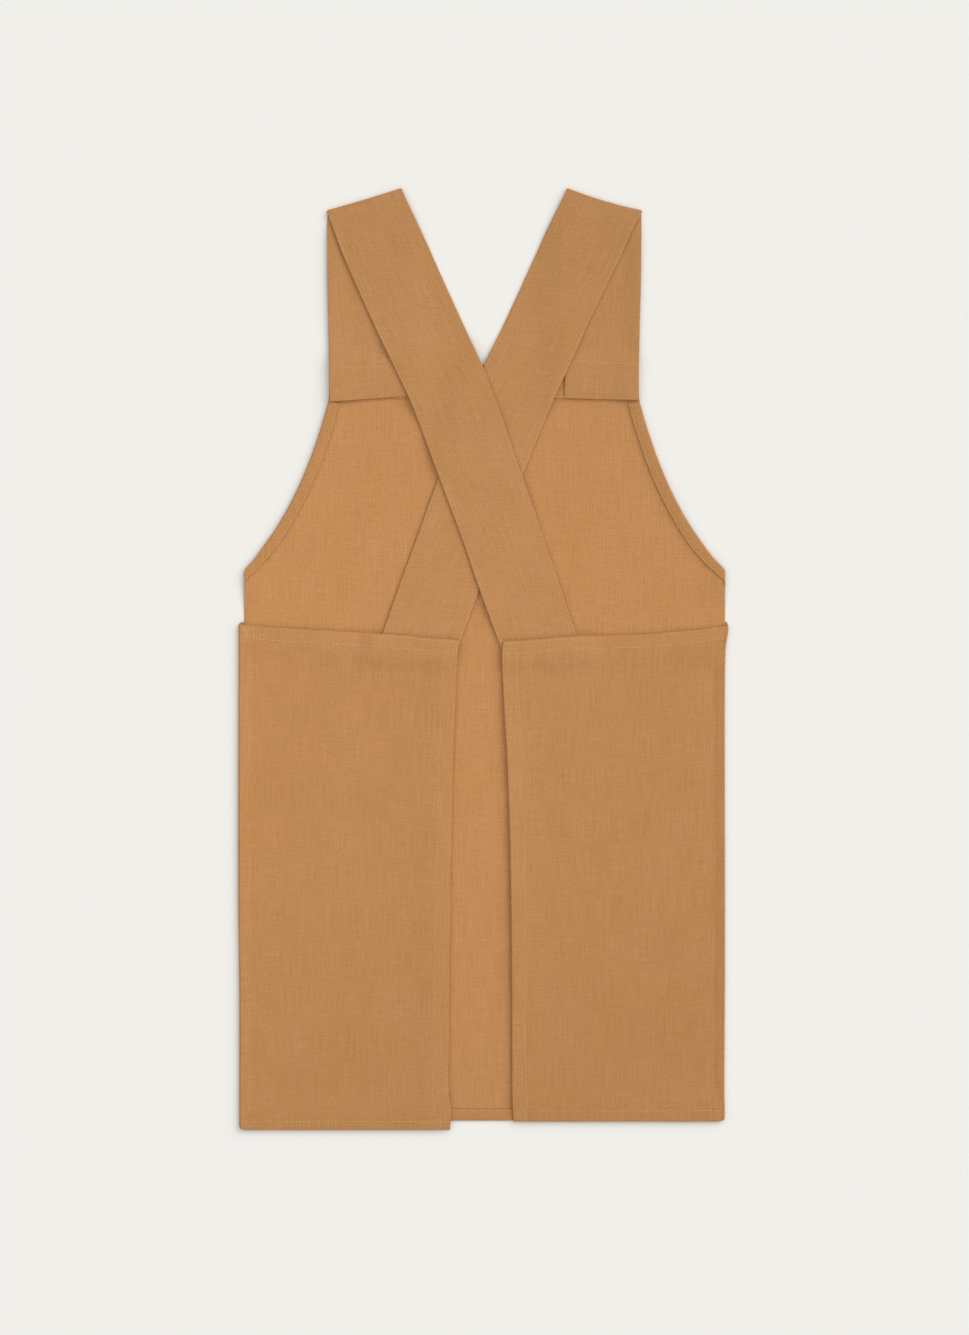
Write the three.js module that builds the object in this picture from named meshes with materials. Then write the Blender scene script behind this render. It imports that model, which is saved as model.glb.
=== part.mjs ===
// Cross back apron, laid flat with its back up, in millimetres, +X right, +Y towards the shoulders, +Z up.
// It lies on its front panel. Each strap starts inside the bib, folds over at the shoulder, crosses the
// other one and ends under the waist hem of the opposite back panel. The two back panels are joined to
// the front panel along its sides, fold over there and leave an opening between them.
// The pieces are laid one after the other, as by hand, each one on those that already lie there.

import * as THREE from "three";

// Cloth
const clothThickness = 1.0;
const strapThickness = 2.0;
const layGap = 0.3;

// Front panel: a bib, two hollow armholes and a skirt. Heights start at the middle of its bottom edge.
const bibWidth = 311;
const bibSideLength = 37;
const armholeDepth = 168;
const skirtWidth = 481;
const frontLength = 756;
const cornerSag = 7.5;
const rightRoll = 2.7;
const rollLength = 6;
const frontCornerRadius = 4;

// Turned edges of the front panel. The facing turns from square to the armhole to straight down past
// this share of the armhole's curve.
const bibHemWidth = 34.2;
const facingWidth = 11.5;
const facingTurn = 0.67;
const frontHemWidth = 11.7;

// Straps
const strapWidth = 75;
const strapEndLength = 35;
const strapEndSlant = 4;
const shoulderRise = 176;
const shoulderSlant = 22.5;
const shoulderLean = 2.2;
const shoulderFoldRadius = 2;
const shoulderFoldEase = 40;
const strapTuck = 11;

// Back panels
const armholeToSeam = 50;
const seamRise = 5;
const waistDrop = 16;
const leftHang = 9.2;
const rightHang = 0.8;
const backOpening = 63.6;
const openingShift = -2.3;
const leftLip = 2.2;
const rightLip = 0.4;
const leftFoldHeight = 4.6;
const rightFoldHeight = 4;
const sideFoldEase = 28;
const sideBulge = 3.3;
const leftEdgeHeight = 3.4;
const rightEdgeHeight = 5.2;
const edgeEase = 45;
const backCornerRadius = 5;

// Turned edges of the back panels
const waistHemWidth = 16;
const centreHemWidth = 15;
const leftBottomHemWidth = 9;
const rightBottomHemWidth = 12;

// How finely the pieces are made
const pileCell = 3;
const fallSlope = 0.22;
const strapStep = 12;
const strapColumns = 6;
const foldSteps = 6;
const armholeSteps = 14;
const panelRows = 26;
const panelColumns = 13;
const hemStep = 16;

// The armhole's curve. out: share of how far it widens, down: share of its depth.
const armholeCurve = [
  { out: 0.35, down: 0.68 },
  { out: 0.86, down: 0.917 },
];

// The straps from shoulder to waist. down: share of the drop from the shoulder to the strap's end.
// left, right: how far the middle of that strap is past the apron's middle, as a share of its distance
// from it at the shoulder. wide: level width as a share of the strap's width.
const strapRun = [
  { down: 0.066, left: -0.883, right: -0.886, wide: 1.152 },
  { down: 0.133, left: -0.768, right: -0.77, wide: 1.157 },
  { down: 0.265, left: -0.552, right: -0.54, wide: 1.148 },
  { down: 0.366, left: -0.376, right: -0.36, wide: 1.172 },
  { down: 0.45, left: -0.251, right: -0.23, wide: 1.146 },
  { down: 0.611, left: -0.031, right: 0.024, wide: 1.117 },
  { down: 0.752, left: 0.161, right: 0.22, wide: 1.099 },
  { down: 0.864, left: 0.305, right: 0.377, wide: 1.094 },
  { down: 1, left: 0.485, right: 0.562, wide: 1.068 },
];

// The centre edges of the back panels. down: share of the panel's length. left, right: share of half the
// opening. leftLift, rightLift: share of the height at which that edge stands.
const centreEdges = [
  { down: 0, left: 0.68, right: 0.67, leftLift: 0.2, rightLift: 0.2 },
  { down: 0.025, left: 0.75, right: 0.63, leftLift: 0.3, rightLift: 0.3 },
  { down: 0.12, left: 0.82, right: 0.68, leftLift: 1, rightLift: 0.9 },
  { down: 0.24, left: 0.89, right: 0.79, leftLift: 0.9, rightLift: 1 },
  { down: 0.47, left: 0.97, right: 0.9, leftLift: 0.8, rightLift: 1 },
  { down: 0.73, left: 1.01, right: 0.94, leftLift: 0.7, rightLift: 0.8 },
  { down: 0.93, left: 1.03, right: 0.95, leftLift: 0.8, rightLift: 0.6 },
  { down: 0.96, left: 0.97, right: 0.96, leftLift: 0.5, rightLift: 0.4 },
  { down: 1, left: 0.99, right: 1, leftLift: 0.2, rightLift: 0.2 },
];

// The waist edges of the back panels. across: share from the centre edge to the side.
// left, right: share of how far the edge has dropped there.
const waistEdges = [
  { across: 0, left: 1, right: 1.08 },
  { across: 0.34, left: 0.6, right: 0.72 },
  { across: 0.55, left: 0.42, right: 0.65 },
  { across: 0.78, left: 0.23, right: 0.44 },
  { across: 1, left: 0, right: 0.08 },
];

// The side folds of the back panels. down: share of the panel's length. left, right: how far the fold
// stands out there past its lip, as a share of the bulge.
const sideFolds = [
  { down: 0, left: 0, right: 0.9 },
  { down: 0.03, left: 0, right: 1 },
  { down: 0.07, left: 0, right: 0.1 },
  { down: 0.12, left: 0, right: 0 },
  { down: 0.9, left: 0, right: 0 },
  { down: 1, left: -0.35, right: 0 },
];

const bibHalf = bibWidth / 2;
const skirtHalf = skirtWidth / 2;
const armholeTop = frontLength - bibSideLength;
const sideSeamLength = armholeTop - armholeDepth - armholeToSeam;

const sides = {
  left: { sign: -1, seam: skirtHalf, lip: leftLip, fold: leftFoldHeight, hang: leftHang,
    edge: leftEdgeHeight, bottomHem: leftBottomHemWidth },
  right: { sign: 1, seam: skirtHalf - rightRoll, lip: rightLip, fold: rightFoldHeight, hang: rightHang,
    edge: rightEdgeHeight, bottomHem: rightBottomHemWidth },
};

const lerp = THREE.MathUtils.lerp;
const smooth = (share) => THREE.MathUtils.smoothstep(share, 0, 1);

// Shares from 0 to 1 in equal steps
function steps(count) {
  return Array.from({ length: count + 1 }, (_, index) => index / count);
}

// The value of a table's column between its rows, with no corner at a row.
function tableValue(table, key, place, column) {
  const last = table.length - 2;
  const found = table.findIndex((row) => row[key] > place) - 1;
  const index = found < 0 ? last : found;
  const slope = (row) => {
    const before = table[Math.max(0, row - 1)];
    const after = table[Math.min(last + 1, row + 1)];
    return (after[column] - before[column]) / (after[key] - before[key]);
  };
  const start = table[index];
  const end = table[index + 1];
  const length = end[key] - start[key];
  const t = (place - start[key]) / length;
  return (1 + 2 * t) * (1 - t) ** 2 * start[column] + t * (1 - t) ** 2 * length * slope(index)
    + t * t * (3 - 2 * t) * end[column] + t * t * (t - 1) * length * slope(index + 1);
}

// The heights of everything laid so far, on a grid of square cells seen from above.
class Pile {
  constructor() {
    const spare = backOpening + sideBulge + leftHang + rightHang + cornerSag;
    this.left = -Math.max(bibWidth, skirtWidth);
    this.bottom = -spare;
    this.columns = Math.ceil((-2 * this.left) / pileCell);
    this.rows = Math.ceil((frontLength + shoulderRise + 2 * spare) / pileCell);
    this.heights = new Float32Array(this.columns * this.rows);
    this.tallest = 0;
  }

  // Raises each cell that a face of the piece covers, with one cell to spare around the face.
  add(geometry) {
    const position = geometry.getAttribute("position");
    const index = geometry.getIndex();
    const count = index ? index.count : position.count;
    const corners = [new THREE.Vector3(), new THREE.Vector3(), new THREE.Vector3()];
    for (let first = 0; first < count; first += 3) {
      corners.forEach((corner, k) => {
        corner.fromBufferAttribute(position, index ? index.getX(first + k) : first + k);
      });
      this.addFace(...corners);
    }
  }

  addFace(a, b, c) {
    const area = (b.x - a.x) * (c.y - a.y) - (c.x - a.x) * (b.y - a.y);
    const longest = Math.max(a.distanceTo(b), b.distanceTo(c), c.distanceTo(a));
    if (Math.abs(area) < 1e-6 * longest * longest) {
      return;
    }
    const spare = (pileCell * longest) / Math.abs(area);
    const low = Math.min(a.z, b.z, c.z);
    const high = Math.max(a.z, b.z, c.z);
    this.eachCell(
      Math.min(a.x, b.x, c.x) - pileCell, Math.max(a.x, b.x, c.x) + pileCell,
      Math.min(a.y, b.y, c.y) - pileCell, Math.max(a.y, b.y, c.y) + pileCell,
      (cell, x, y) => {
        const toB = ((x - a.x) * (c.y - a.y) - (c.x - a.x) * (y - a.y)) / area;
        const toC = ((b.x - a.x) * (y - a.y) - (x - a.x) * (b.y - a.y)) / area;
        if (Math.min(toB, toC, 1 - toB - toC) < -spare) {
          return;
        }
        const z = a.z + toB * (b.z - a.z) + toC * (c.z - a.z);
        this.heights[cell] = Math.max(this.heights[cell], Math.min(high, Math.max(low, z)));
      },
    );
    this.tallest = Math.max(this.tallest, high);
  }

  eachCell(fromX, toX, fromY, toY, visit) {
    const firstColumn = Math.max(0, Math.floor((fromX - this.left) / pileCell));
    const lastColumn = Math.min(this.columns - 1, Math.floor((toX - this.left) / pileCell));
    const firstRow = Math.max(0, Math.floor((fromY - this.bottom) / pileCell));
    const lastRow = Math.min(this.rows - 1, Math.floor((toY - this.bottom) / pileCell));
    for (let row = firstRow; row <= lastRow; row += 1) {
      for (let column = firstColumn; column <= lastColumn; column += 1) {
        const x = this.left + (column + 0.5) * pileCell;
        const y = this.bottom + (row + 0.5) * pileCell;
        visit(row * this.columns + column, x, y);
      }
    }
  }

  // The height at which cloth lies over the pile: clear of every cell within reach, and falling away
  // from the cells beyond at the slope of cloth that hangs off an edge.
  restHeight(x, y, reach) {
    const far = reach + this.tallest / fallSlope;
    let height = 0;
    this.eachCell(x - far, x + far, y - far, y + far, (cell, cellX, cellY) => {
      if (this.heights[cell] > 0) {
        const away = Math.max(0, Math.hypot(cellX - x, cellY - y) - reach);
        height = Math.max(height, this.heights[cell] + layGap - fallSlope * away);
      }
    });
    return height;
  }
}

// How far apart the neighbours in a net of plan points lie at most
function netReach(net) {
  let reach = 0;
  for (let row = 1; row < net.length; row += 1) {
    for (let column = 1; column < net[row].length; column += 1) {
      reach = Math.max(reach, net[row][column].distanceTo(net[row - 1][column - 1]),
        net[row - 1][column].distanceTo(net[row][column - 1]));
    }
  }
  return reach;
}

// A closed wall of cloth around a net of points, which runs through the middle of its thickness.
function clothWall(net, thickness) {
  const rows = net.length;
  const columns = net[0].length;
  const vertices = [];
  const faces = [];
  const { clamp } = THREE.MathUtils;
  const at = (row, column) => net[clamp(row, 0, rows - 1)][clamp(column, 0, columns - 1)];
  for (const half of [thickness / 2, -thickness / 2]) {
    for (let row = 0; row < rows; row += 1) {
      for (let column = 0; column < columns; column += 1) {
        const along = at(row + 1, column).clone().sub(at(row - 1, column));
        const across = at(row, column + 1).clone().sub(at(row, column - 1));
        const normal = along.cross(across).normalize();
        const point = at(row, column).clone().addScaledVector(normal, half);
        vertices.push(point.x, point.y, point.z);
      }
    }
  }
  const upper = (row, column) => row * columns + column;
  const lower = (row, column) => (rows + row) * columns + column;
  const quad = (a, b, c, d) => faces.push(a, b, c, a, c, d);
  const endRow = rows - 1;
  const endColumn = columns - 1;
  for (let row = 0; row < endRow; row += 1) {
    const next = row + 1;
    for (let column = 0; column < endColumn; column += 1) {
      quad(upper(row, column), upper(next, column), upper(next, column + 1), upper(row, column + 1));
      quad(lower(row, column), lower(row, column + 1), lower(next, column + 1), lower(next, column));
    }
    quad(upper(row, 0), lower(row, 0), lower(next, 0), upper(next, 0));
    quad(upper(row, endColumn), upper(next, endColumn), lower(next, endColumn), lower(row, endColumn));
  }
  for (let column = 0; column < endColumn; column += 1) {
    const next = column + 1;
    quad(upper(0, column), upper(0, next), lower(0, next), lower(0, column));
    quad(upper(endRow, column), lower(endRow, column), lower(endRow, next), upper(endRow, next));
  }
  const geometry = new THREE.BufferGeometry();
  geometry.setAttribute("position", new THREE.Float32BufferAttribute(vertices, 3));
  geometry.setIndex(faces);
  return geometry;
}

// A net of plan points over two shares, down the first edge and across from one edge to the other
function planNet(rows, columns, place) {
  return steps(rows).map((down) => steps(columns).map((across) => place(down, across)));
}

// Cloth laid on the pile, as a wall of its own
function laidCloth(pile, plan, thickness) {
  const reach = netReach(plan);
  const net = plan.map((row) => row.map((point) => {
    const rest = pile.restHeight(point.x, point.y, reach);
    return new THREE.Vector3(point.x, point.y, rest + thickness / 2);
  }));
  return clothWall(net, thickness);
}

// Front panel
function armhole() {
  const place = ({ out, down }) => new THREE.Vector2(
    lerp(bibHalf, skirtHalf, out),
    armholeTop - down * armholeDepth,
  );
  return new THREE.CubicBezierCurve(
    place({ out: 0, down: 0 }),
    place(armholeCurve[0]),
    place(armholeCurve[1]),
    place({ out: 1, down: 1 }),
  );
}

const bottomEdge = (x) => -cornerSag * smooth((-x - backOpening / 2) / (skirtHalf - backOpening / 2));

function frontPanel() {
  const curve = armhole();
  const rightSide = sides.right.seam;
  const shape = new THREE.Shape();
  shape.moveTo(-bibHalf, frontLength);
  shape.lineTo(-bibHalf, armholeTop);
  const [v0, v1, v2, v3] = [curve.v0, curve.v1, curve.v2, curve.v3];
  shape.bezierCurveTo(-v1.x, v1.y, -v2.x, v2.y, -v3.x, v3.y);
  shape.lineTo(-skirtHalf, -cornerSag + frontCornerRadius);
  shape.quadraticCurveTo(-skirtHalf, -cornerSag, -skirtHalf + frontCornerRadius, -cornerSag);
  for (const share of steps(8).slice(1, -1)) {
    const x = lerp(-skirtHalf, 0, share);
    shape.lineTo(x, bottomEdge(x));
  }
  shape.lineTo(rightSide - frontCornerRadius, 0);
  shape.quadraticCurveTo(rightSide, 0, rightSide, frontCornerRadius);
  shape.lineTo(rightSide, sideSeamLength);
  shape.lineTo(skirtHalf, sideSeamLength + rollLength);
  shape.lineTo(v3.x, v3.y);
  shape.bezierCurveTo(v2.x, v2.y, v1.x, v1.y, v0.x, v0.y);
  shape.lineTo(bibHalf, frontLength);
  return new THREE.ExtrudeGeometry(shape, {
    depth: clothThickness,
    bevelEnabled: false,
    curveSegments: armholeSteps,
  });
}

// Turned edges of the front panel
function bibTopHem(pile) {
  const plan = planNet(2, Math.ceil(bibWidth / hemStep / 2), (down, across) => new THREE.Vector2(
    lerp(-bibHalf, bibHalf, across),
    frontLength - down * bibHemWidth,
  ));
  return laidCloth(pile, plan, clothThickness);
}

function armholeFacing(pile, sign) {
  const curve = armhole();
  const top = Math.min(armholeTop, frontLength - bibHemWidth - layGap);
  const plan = planNet(armholeSteps, 1, (down, across) => {
    const edge = curve.getPoint(down);
    const along = curve.getTangent(down);
    const turned = smooth((down - facingTurn) / (1 - facingTurn));
    const inward = new THREE.Vector2(along.y, -along.x).lerp(new THREE.Vector2(0, -1), turned);
    const point = edge.clone().addScaledVector(inward.normalize(), across * facingWidth);
    return new THREE.Vector2(sign * point.x, Math.min(point.y, top));
  });
  return laidCloth(pile, plan, clothThickness);
}

function frontBottomHem(pile) {
  const plan = planNet(1, Math.ceil(skirtWidth / hemStep / 2), (down, across) => {
    const x = lerp(-skirtHalf + frontCornerRadius, sides.right.seam - frontCornerRadius, across);
    return new THREE.Vector2(x, bottomEdge(x) + (1 - down) * frontHemWidth);
  });
  return laidCloth(pile, plan, clothThickness);
}

// A strap, laid in two stretches: up from the bib to the shoulder, then folded over and down the back
function strap(pile, side) {
  const { sign } = sides[side];
  const half = strapWidth / 2;
  const endX = bibHalf - half;
  const shoulderX = endX + shoulderLean;
  const endY = frontLength - strapEndLength;
  const innerCorner = new THREE.Vector2(sign * (shoulderX - half), frontLength + shoulderRise);
  const outerCorner = new THREE.Vector2(sign * (shoulderX + half), innerCorner.y - shoulderSlant);
  const away = new THREE.Vector2(sign * shoulderSlant, strapWidth).normalize();
  const foldBack = -(shoulderFoldRadius + strapThickness / 2);
  const outerBase = outerCorner.clone().addScaledVector(away, foldBack);
  const innerBase = innerCorner.clone().addScaledVector(away, foldBack);

  const legRows = Math.ceil((shoulderRise + strapEndLength) / strapStep);
  const outerEnd = new THREE.Vector2(sign * (endX + half), endY);
  const innerEnd = new THREE.Vector2(sign * (endX - half), endY + strapEndSlant);
  const frontPlan = planNet(legRows, strapColumns, (up, across) => {
    const outer = outerEnd.clone().lerp(outerBase, up);
    const inner = innerEnd.clone().lerp(innerBase, up);
    return outer.lerp(inner, across);
  });
  const frontReach = netReach(frontPlan);
  const frontNet = frontPlan.map((row) => row.map((point) => new THREE.Vector3(
    point.x,
    point.y,
    pile.restHeight(point.x, point.y, frontReach) + strapThickness / 2,
  )));
  pile.add(clothWall(frontNet, strapThickness));

  const foldBottom = strapThickness / 2;
  const foldNet = steps(foldSteps).slice(1, -1).map((share) => {
    const angle = share * Math.PI;
    const out = away.clone().multiplyScalar(shoulderFoldRadius * Math.sin(angle));
    const z = foldBottom + shoulderFoldRadius * (1 - Math.cos(angle));
    return steps(strapColumns).map((across) => {
      const point = outerBase.clone().lerp(innerBase, across).add(out);
      return new THREE.Vector3(point.x, point.y, z);
    });
  });

  const shoulderY = frontLength + shoulderRise - shoulderSlant / 2;
  const drop = shoulderY - (sideSeamLength - seamRise - waistDrop - strapTuck);
  const knots = strapRun.map((row) => ({
    x: sign * -row[side] * shoulderX,
    y: shoulderY - row.down * drop,
    half: (row.wide * strapWidth) / 2,
  }));
  const outerEdge = new THREE.SplineCurve([
    outerBase, ...knots.map(({ x, y, half: level }) => new THREE.Vector2(x + sign * level, y)),
  ]);
  const innerEdge = new THREE.SplineCurve([
    innerBase, ...knots.map(({ x, y, half: level }) => new THREE.Vector2(x - sign * level, y)),
  ]);
  const backPlan = planNet(Math.ceil(drop / strapStep), strapColumns, (down, across) => (
    outerEdge.getPoint(down).lerp(innerEdge.getPoint(down), across)
  ));
  const backReach = netReach(backPlan);
  const foldTop = 2 * shoulderFoldRadius;
  const backNet = backPlan.map((row, rowIndex) => row.map((point) => {
    const eased = smooth(1 - (rowIndex * strapStep) / shoulderFoldEase);
    const rest = rowIndex === 0 ? 0 : pile.restHeight(point.x, point.y, backReach);
    return new THREE.Vector3(point.x, point.y, Math.max(rest, foldTop * eased) + strapThickness / 2);
  }));
  return clothWall([...frontNet, ...foldNet, ...backNet], strapThickness);
}

// Back panels
function backPlace(side, down, across) {
  const { sign, seam, lip, hang } = sides[side];
  const opening = (backOpening / 2) * tableValue(centreEdges, "down", down, side);
  const centreX = openingShift + sign * opening;
  const bulge = sideBulge * tableValue(sideFolds, "down", down, side);
  const foldX = sign * (seam + layGap + lip + bulge);
  const waistY = sideSeamLength - seamRise - waistDrop * tableValue(waistEdges, "across", across, side);
  return new THREE.Vector2(lerp(centreX, foldX, across), lerp(waistY, -hang, down));
}

const backLength = (side) => sideSeamLength - seamRise + sides[side].hang;
const backWidth = (side) => sides[side].seam - backOpening / 2;

function waistHem(pile, side) {
  const share = waistHemWidth / backLength(side);
  const sideEnd = 1 - (sides[side].lip + layGap + clothThickness) / backWidth(side);
  const plan = planNet(1, Math.ceil(backWidth(side) / hemStep), (down, across) => (
    backPlace(side, down * share, across * sideEnd)
  ));
  return laidCloth(pile, plan, clothThickness);
}

function centreHem(pile, side) {
  const length = backLength(side);
  const start = (waistHemWidth + layGap) / length;
  const end = 1 - (sides[side].bottomHem + layGap) / length;
  const share = centreHemWidth / backWidth(side);
  const plan = planNet(panelRows, 1, (down, across) => (
    backPlace(side, lerp(start, end, down), across * share)
  ));
  return laidCloth(pile, plan, clothThickness);
}

function backBottomHem(pile, side) {
  const start = 1 - sides[side].bottomHem / backLength(side);
  const sideEnd = 1 - (sides[side].lip + layGap + backCornerRadius) / backWidth(side);
  const plan = planNet(1, Math.ceil(backWidth(side) / hemStep), (down, across) => (
    backPlace(side, lerp(start, 1, down), across * sideEnd)
  ));
  return laidCloth(pile, plan, clothThickness);
}

// The rows of a back panel run from the centre edge to the side, round the side fold and under it to
// the front panel's edge.
function backPanel(pile, side) {
  const { sign, seam, fold, edge } = sides[side];
  const plan = planNet(panelRows, panelColumns, (down, across) => backPlace(side, down, across));
  const reach = netReach(plan);
  const width = backWidth(side);
  const seamX = seam + layGap;
  const net = steps(panelRows).map((down, rowIndex) => {
    const top = plan[rowIndex].map((point, columnIndex) => {
      const across = columnIndex / panelColumns;
      const puff = fold * smooth(1 - ((1 - across) * width) / sideFoldEase);
      const lift = edge * tableValue(centreEdges, "down", down, `${side}Lift`)
        * smooth(1 - (across * width) / edgeEase);
      const rest = pile.restHeight(point.x, point.y, reach);
      return new THREE.Vector3(point.x, point.y, Math.max(rest, puff, lift) + clothThickness / 2);
    });
    const last = top[panelColumns];
    const radius = (last.z - clothThickness / 2) / 2;
    const rise = seamRise * (1 - down);
    const wrap = steps(foldSteps).slice(1).map((share) => new THREE.Vector3(
      last.x + sign * radius * Math.sin(share * Math.PI),
      last.y + rise * share,
      last.z - radius * (1 - Math.cos(share * Math.PI)),
    ));
    const seamEnd = new THREE.Vector3(sign * seamX, last.y + rise, clothThickness / 2);
    return [...top, ...wrap, seamEnd];
  });
  return clothWall(net, clothThickness);
}

// A named mesh. A mirrored wall comes out inside out, so its faces are turned where its volume is
// negative.
function piece(name, geometry, color) {
  const solid = geometry.getIndex() && signedVolume(geometry) < 0 ? turnedFaces(geometry) : geometry;
  solid.computeVertexNormals();
  const cloth = new THREE.MeshStandardMaterial({ color, roughness: 0.9, metalness: 0 });
  const mesh = new THREE.Mesh(solid, cloth);
  mesh.name = name;
  return mesh;
}

function signedVolume(geometry) {
  const position = geometry.getAttribute("position");
  const index = geometry.getIndex();
  const corners = [new THREE.Vector3(), new THREE.Vector3(), new THREE.Vector3()];
  let volume = 0;
  for (let first = 0; first < index.count; first += 3) {
    corners.forEach((corner, k) => corner.fromBufferAttribute(position, index.getX(first + k)));
    volume += corners[0].dot(corners[1].clone().cross(corners[2])) / 6;
  }
  return volume;
}

function turnedFaces(geometry) {
  const turned = geometry.clone();
  turned.setIndex(Array.from(geometry.getIndex().array).reverse());
  return turned;
}

// Each layer's pieces are laid on the same pile and join it together, because they lie side by side.
const apron = new THREE.Group();
const pile = new Pile();

function layDown(pieces) {
  for (const mesh of pieces) {
    pile.add(mesh.geometry);
    apron.add(mesh);
  }
}

layDown([piece("front_panel", frontPanel(), 0xbf8955)]);
layDown([
  piece("bib_top_hem", bibTopHem(pile), 0xc18a57),
  piece("left_armhole_facing", armholeFacing(pile, -1), 0xc38d5a),
  piece("right_armhole_facing", armholeFacing(pile, 1), 0xc28c5a),
  piece("front_bottom_hem", frontBottomHem(pile), 0xbd8554),
]);
layDown([piece("right_strap", strap(pile, "right"), 0xbd8959)]);
layDown([piece("left_strap", strap(pile, "left"), 0xbb8858)]);
layDown(["left", "right"].flatMap((side) => [
  piece(`${side}_waist_hem`, waistHem(pile, side), 0xbf8b58),
  piece(`${side}_centre_hem`, centreHem(pile, side), 0xbd8856),
  piece(`${side}_back_bottom_hem`, backBottomHem(pile, side), 0xb98655),
]));
layDown([
  piece("left_back_panel", backPanel(pile, "left"), 0xbd8856),
  piece("right_back_panel", backPanel(pile, "right"), 0xbb8654),
]);

// The origin is the middle of the apron's footprint, on the surface that it lies on.
const box = new THREE.Box3().setFromObject(apron);
const centre = box.getCenter(new THREE.Vector3());
apron.position.set(-centre.x, -centre.y, -box.min.z);

export default apron;
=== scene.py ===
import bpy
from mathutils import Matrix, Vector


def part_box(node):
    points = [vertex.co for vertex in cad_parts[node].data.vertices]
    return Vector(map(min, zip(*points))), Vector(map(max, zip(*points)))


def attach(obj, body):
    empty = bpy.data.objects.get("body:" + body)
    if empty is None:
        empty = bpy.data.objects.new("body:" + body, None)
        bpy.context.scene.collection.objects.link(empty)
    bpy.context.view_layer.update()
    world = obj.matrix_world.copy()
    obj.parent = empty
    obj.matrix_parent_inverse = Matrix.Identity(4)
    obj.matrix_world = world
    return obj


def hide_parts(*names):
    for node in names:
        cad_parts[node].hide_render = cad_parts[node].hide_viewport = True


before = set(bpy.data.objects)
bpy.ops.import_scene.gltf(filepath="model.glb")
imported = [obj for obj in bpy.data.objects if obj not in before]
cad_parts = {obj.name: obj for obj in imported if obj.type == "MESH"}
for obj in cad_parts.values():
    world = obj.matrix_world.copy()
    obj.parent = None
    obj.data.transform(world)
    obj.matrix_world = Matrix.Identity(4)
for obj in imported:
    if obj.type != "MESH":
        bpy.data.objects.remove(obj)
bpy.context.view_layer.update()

from types import SimpleNamespace

import bpy
import numpy as np
from bpy.props import FloatProperty, FloatVectorProperty, PointerProperty
from mathutils import Vector

bl_info = {
    "name": "Cross Back Apron",
    "version": (1, 0, 0),
    "blender": (4, 5, 0),
    "location": "View3D > Sidebar > Apron",
    "description": "Makes a cross back apron of tan linen and cotton, laid flat with its back up",
    "category": "Add Mesh",
}

# Shapes are worked out in millimetres. X runs to the right from the apron's middle, Y towards the
# shoulders from the middle of the front panel's bottom edge, and Z up from the floor.
MM = 0.001


def box_mm(node):
    """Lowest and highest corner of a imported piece, in millimetres."""
    return [np.array(corner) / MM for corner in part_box(node)]


FRONT_BOX = box_mm("front_panel")
BIB_HEM_BOX = box_mm("bib_top_hem")
SKIRT_WIDTH = FRONT_BOX[1][0] - FRONT_BOX[0][0]
BIB_WIDTH = BIB_HEM_BOX[1][0] - BIB_HEM_BOX[0][0]
BIB_HEM = BIB_HEM_BOX[1][1] - BIB_HEM_BOX[0][1]
LOWEST_CORNER = 7.5         # how much lower the front's left bottom corner is than its middle
FRONT_LENGTH = FRONT_BOX[1][1] - FRONT_BOX[0][1] - LOWEST_CORNER
MIDDLE_X = (FRONT_BOX[0][0] + FRONT_BOX[1][0]) / 2
BIB_TOP_Y = FRONT_BOX[1][1]

WAIST_SPARE = 20.0          # what the slope of the waist edge adds to a back panel's flat length
LEG_BULGE = 0.8             # how far a strap's leg on the bib stands out halfway to the shoulder
LEG_PRESSED = 0.6           # share of its thickness that the leg's sewn end keeps under the iron
WAIST_LIFT = 1.4            # how far the waist edge of a back panel stands off what lies under it
ROW_INSET = 1.8             # from the free edge of a front hem or facing to its row of stitches
GROOVE_HALF = 0.9           # half the width of the groove that a row of stitches presses
PUCKER_REACH = 5.0          # how far from its row a pucker fades
FAR = 1e3                   # a distance that is far from any rim

# The armhole's curve. out: share of how far it widens, down: share of its depth.
ARMHOLE = np.rec.fromrecords([
    (0.00, 0.000),
    (0.35, 0.680),
    (0.86, 0.917),
    (1.00, 1.000),
], names="out, down")

# The straps from shoulder to waist. down: share of the drop. left, right: how far the middle of that
# strap is past the apron's middle, as a share of its distance from it at the shoulder. left_wide,
# right_wide: level width as a share of the strap's width.
STRAP_RUN = np.rec.fromrecords([
    (0.066, -0.894, -0.880, 1.160, 1.137),
    (0.133, -0.790, -0.767, 1.191, 1.140),
    (0.265, -0.567, -0.533, 1.196, 1.119),
    (0.366, -0.388, -0.357, 1.186, 1.138),
    (0.450, -0.251, -0.220, 1.146, 1.114),
    (0.611, -0.031, 0.026, 1.117, 1.110),
    (0.752, 0.161, 0.220, 1.099, 1.099),
    (0.864, 0.305, 0.377, 1.094, 1.094),
    (1.000, 0.485, 0.562, 1.068, 1.068),
], names="down, left, right, left_wide, right_wide")

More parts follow.
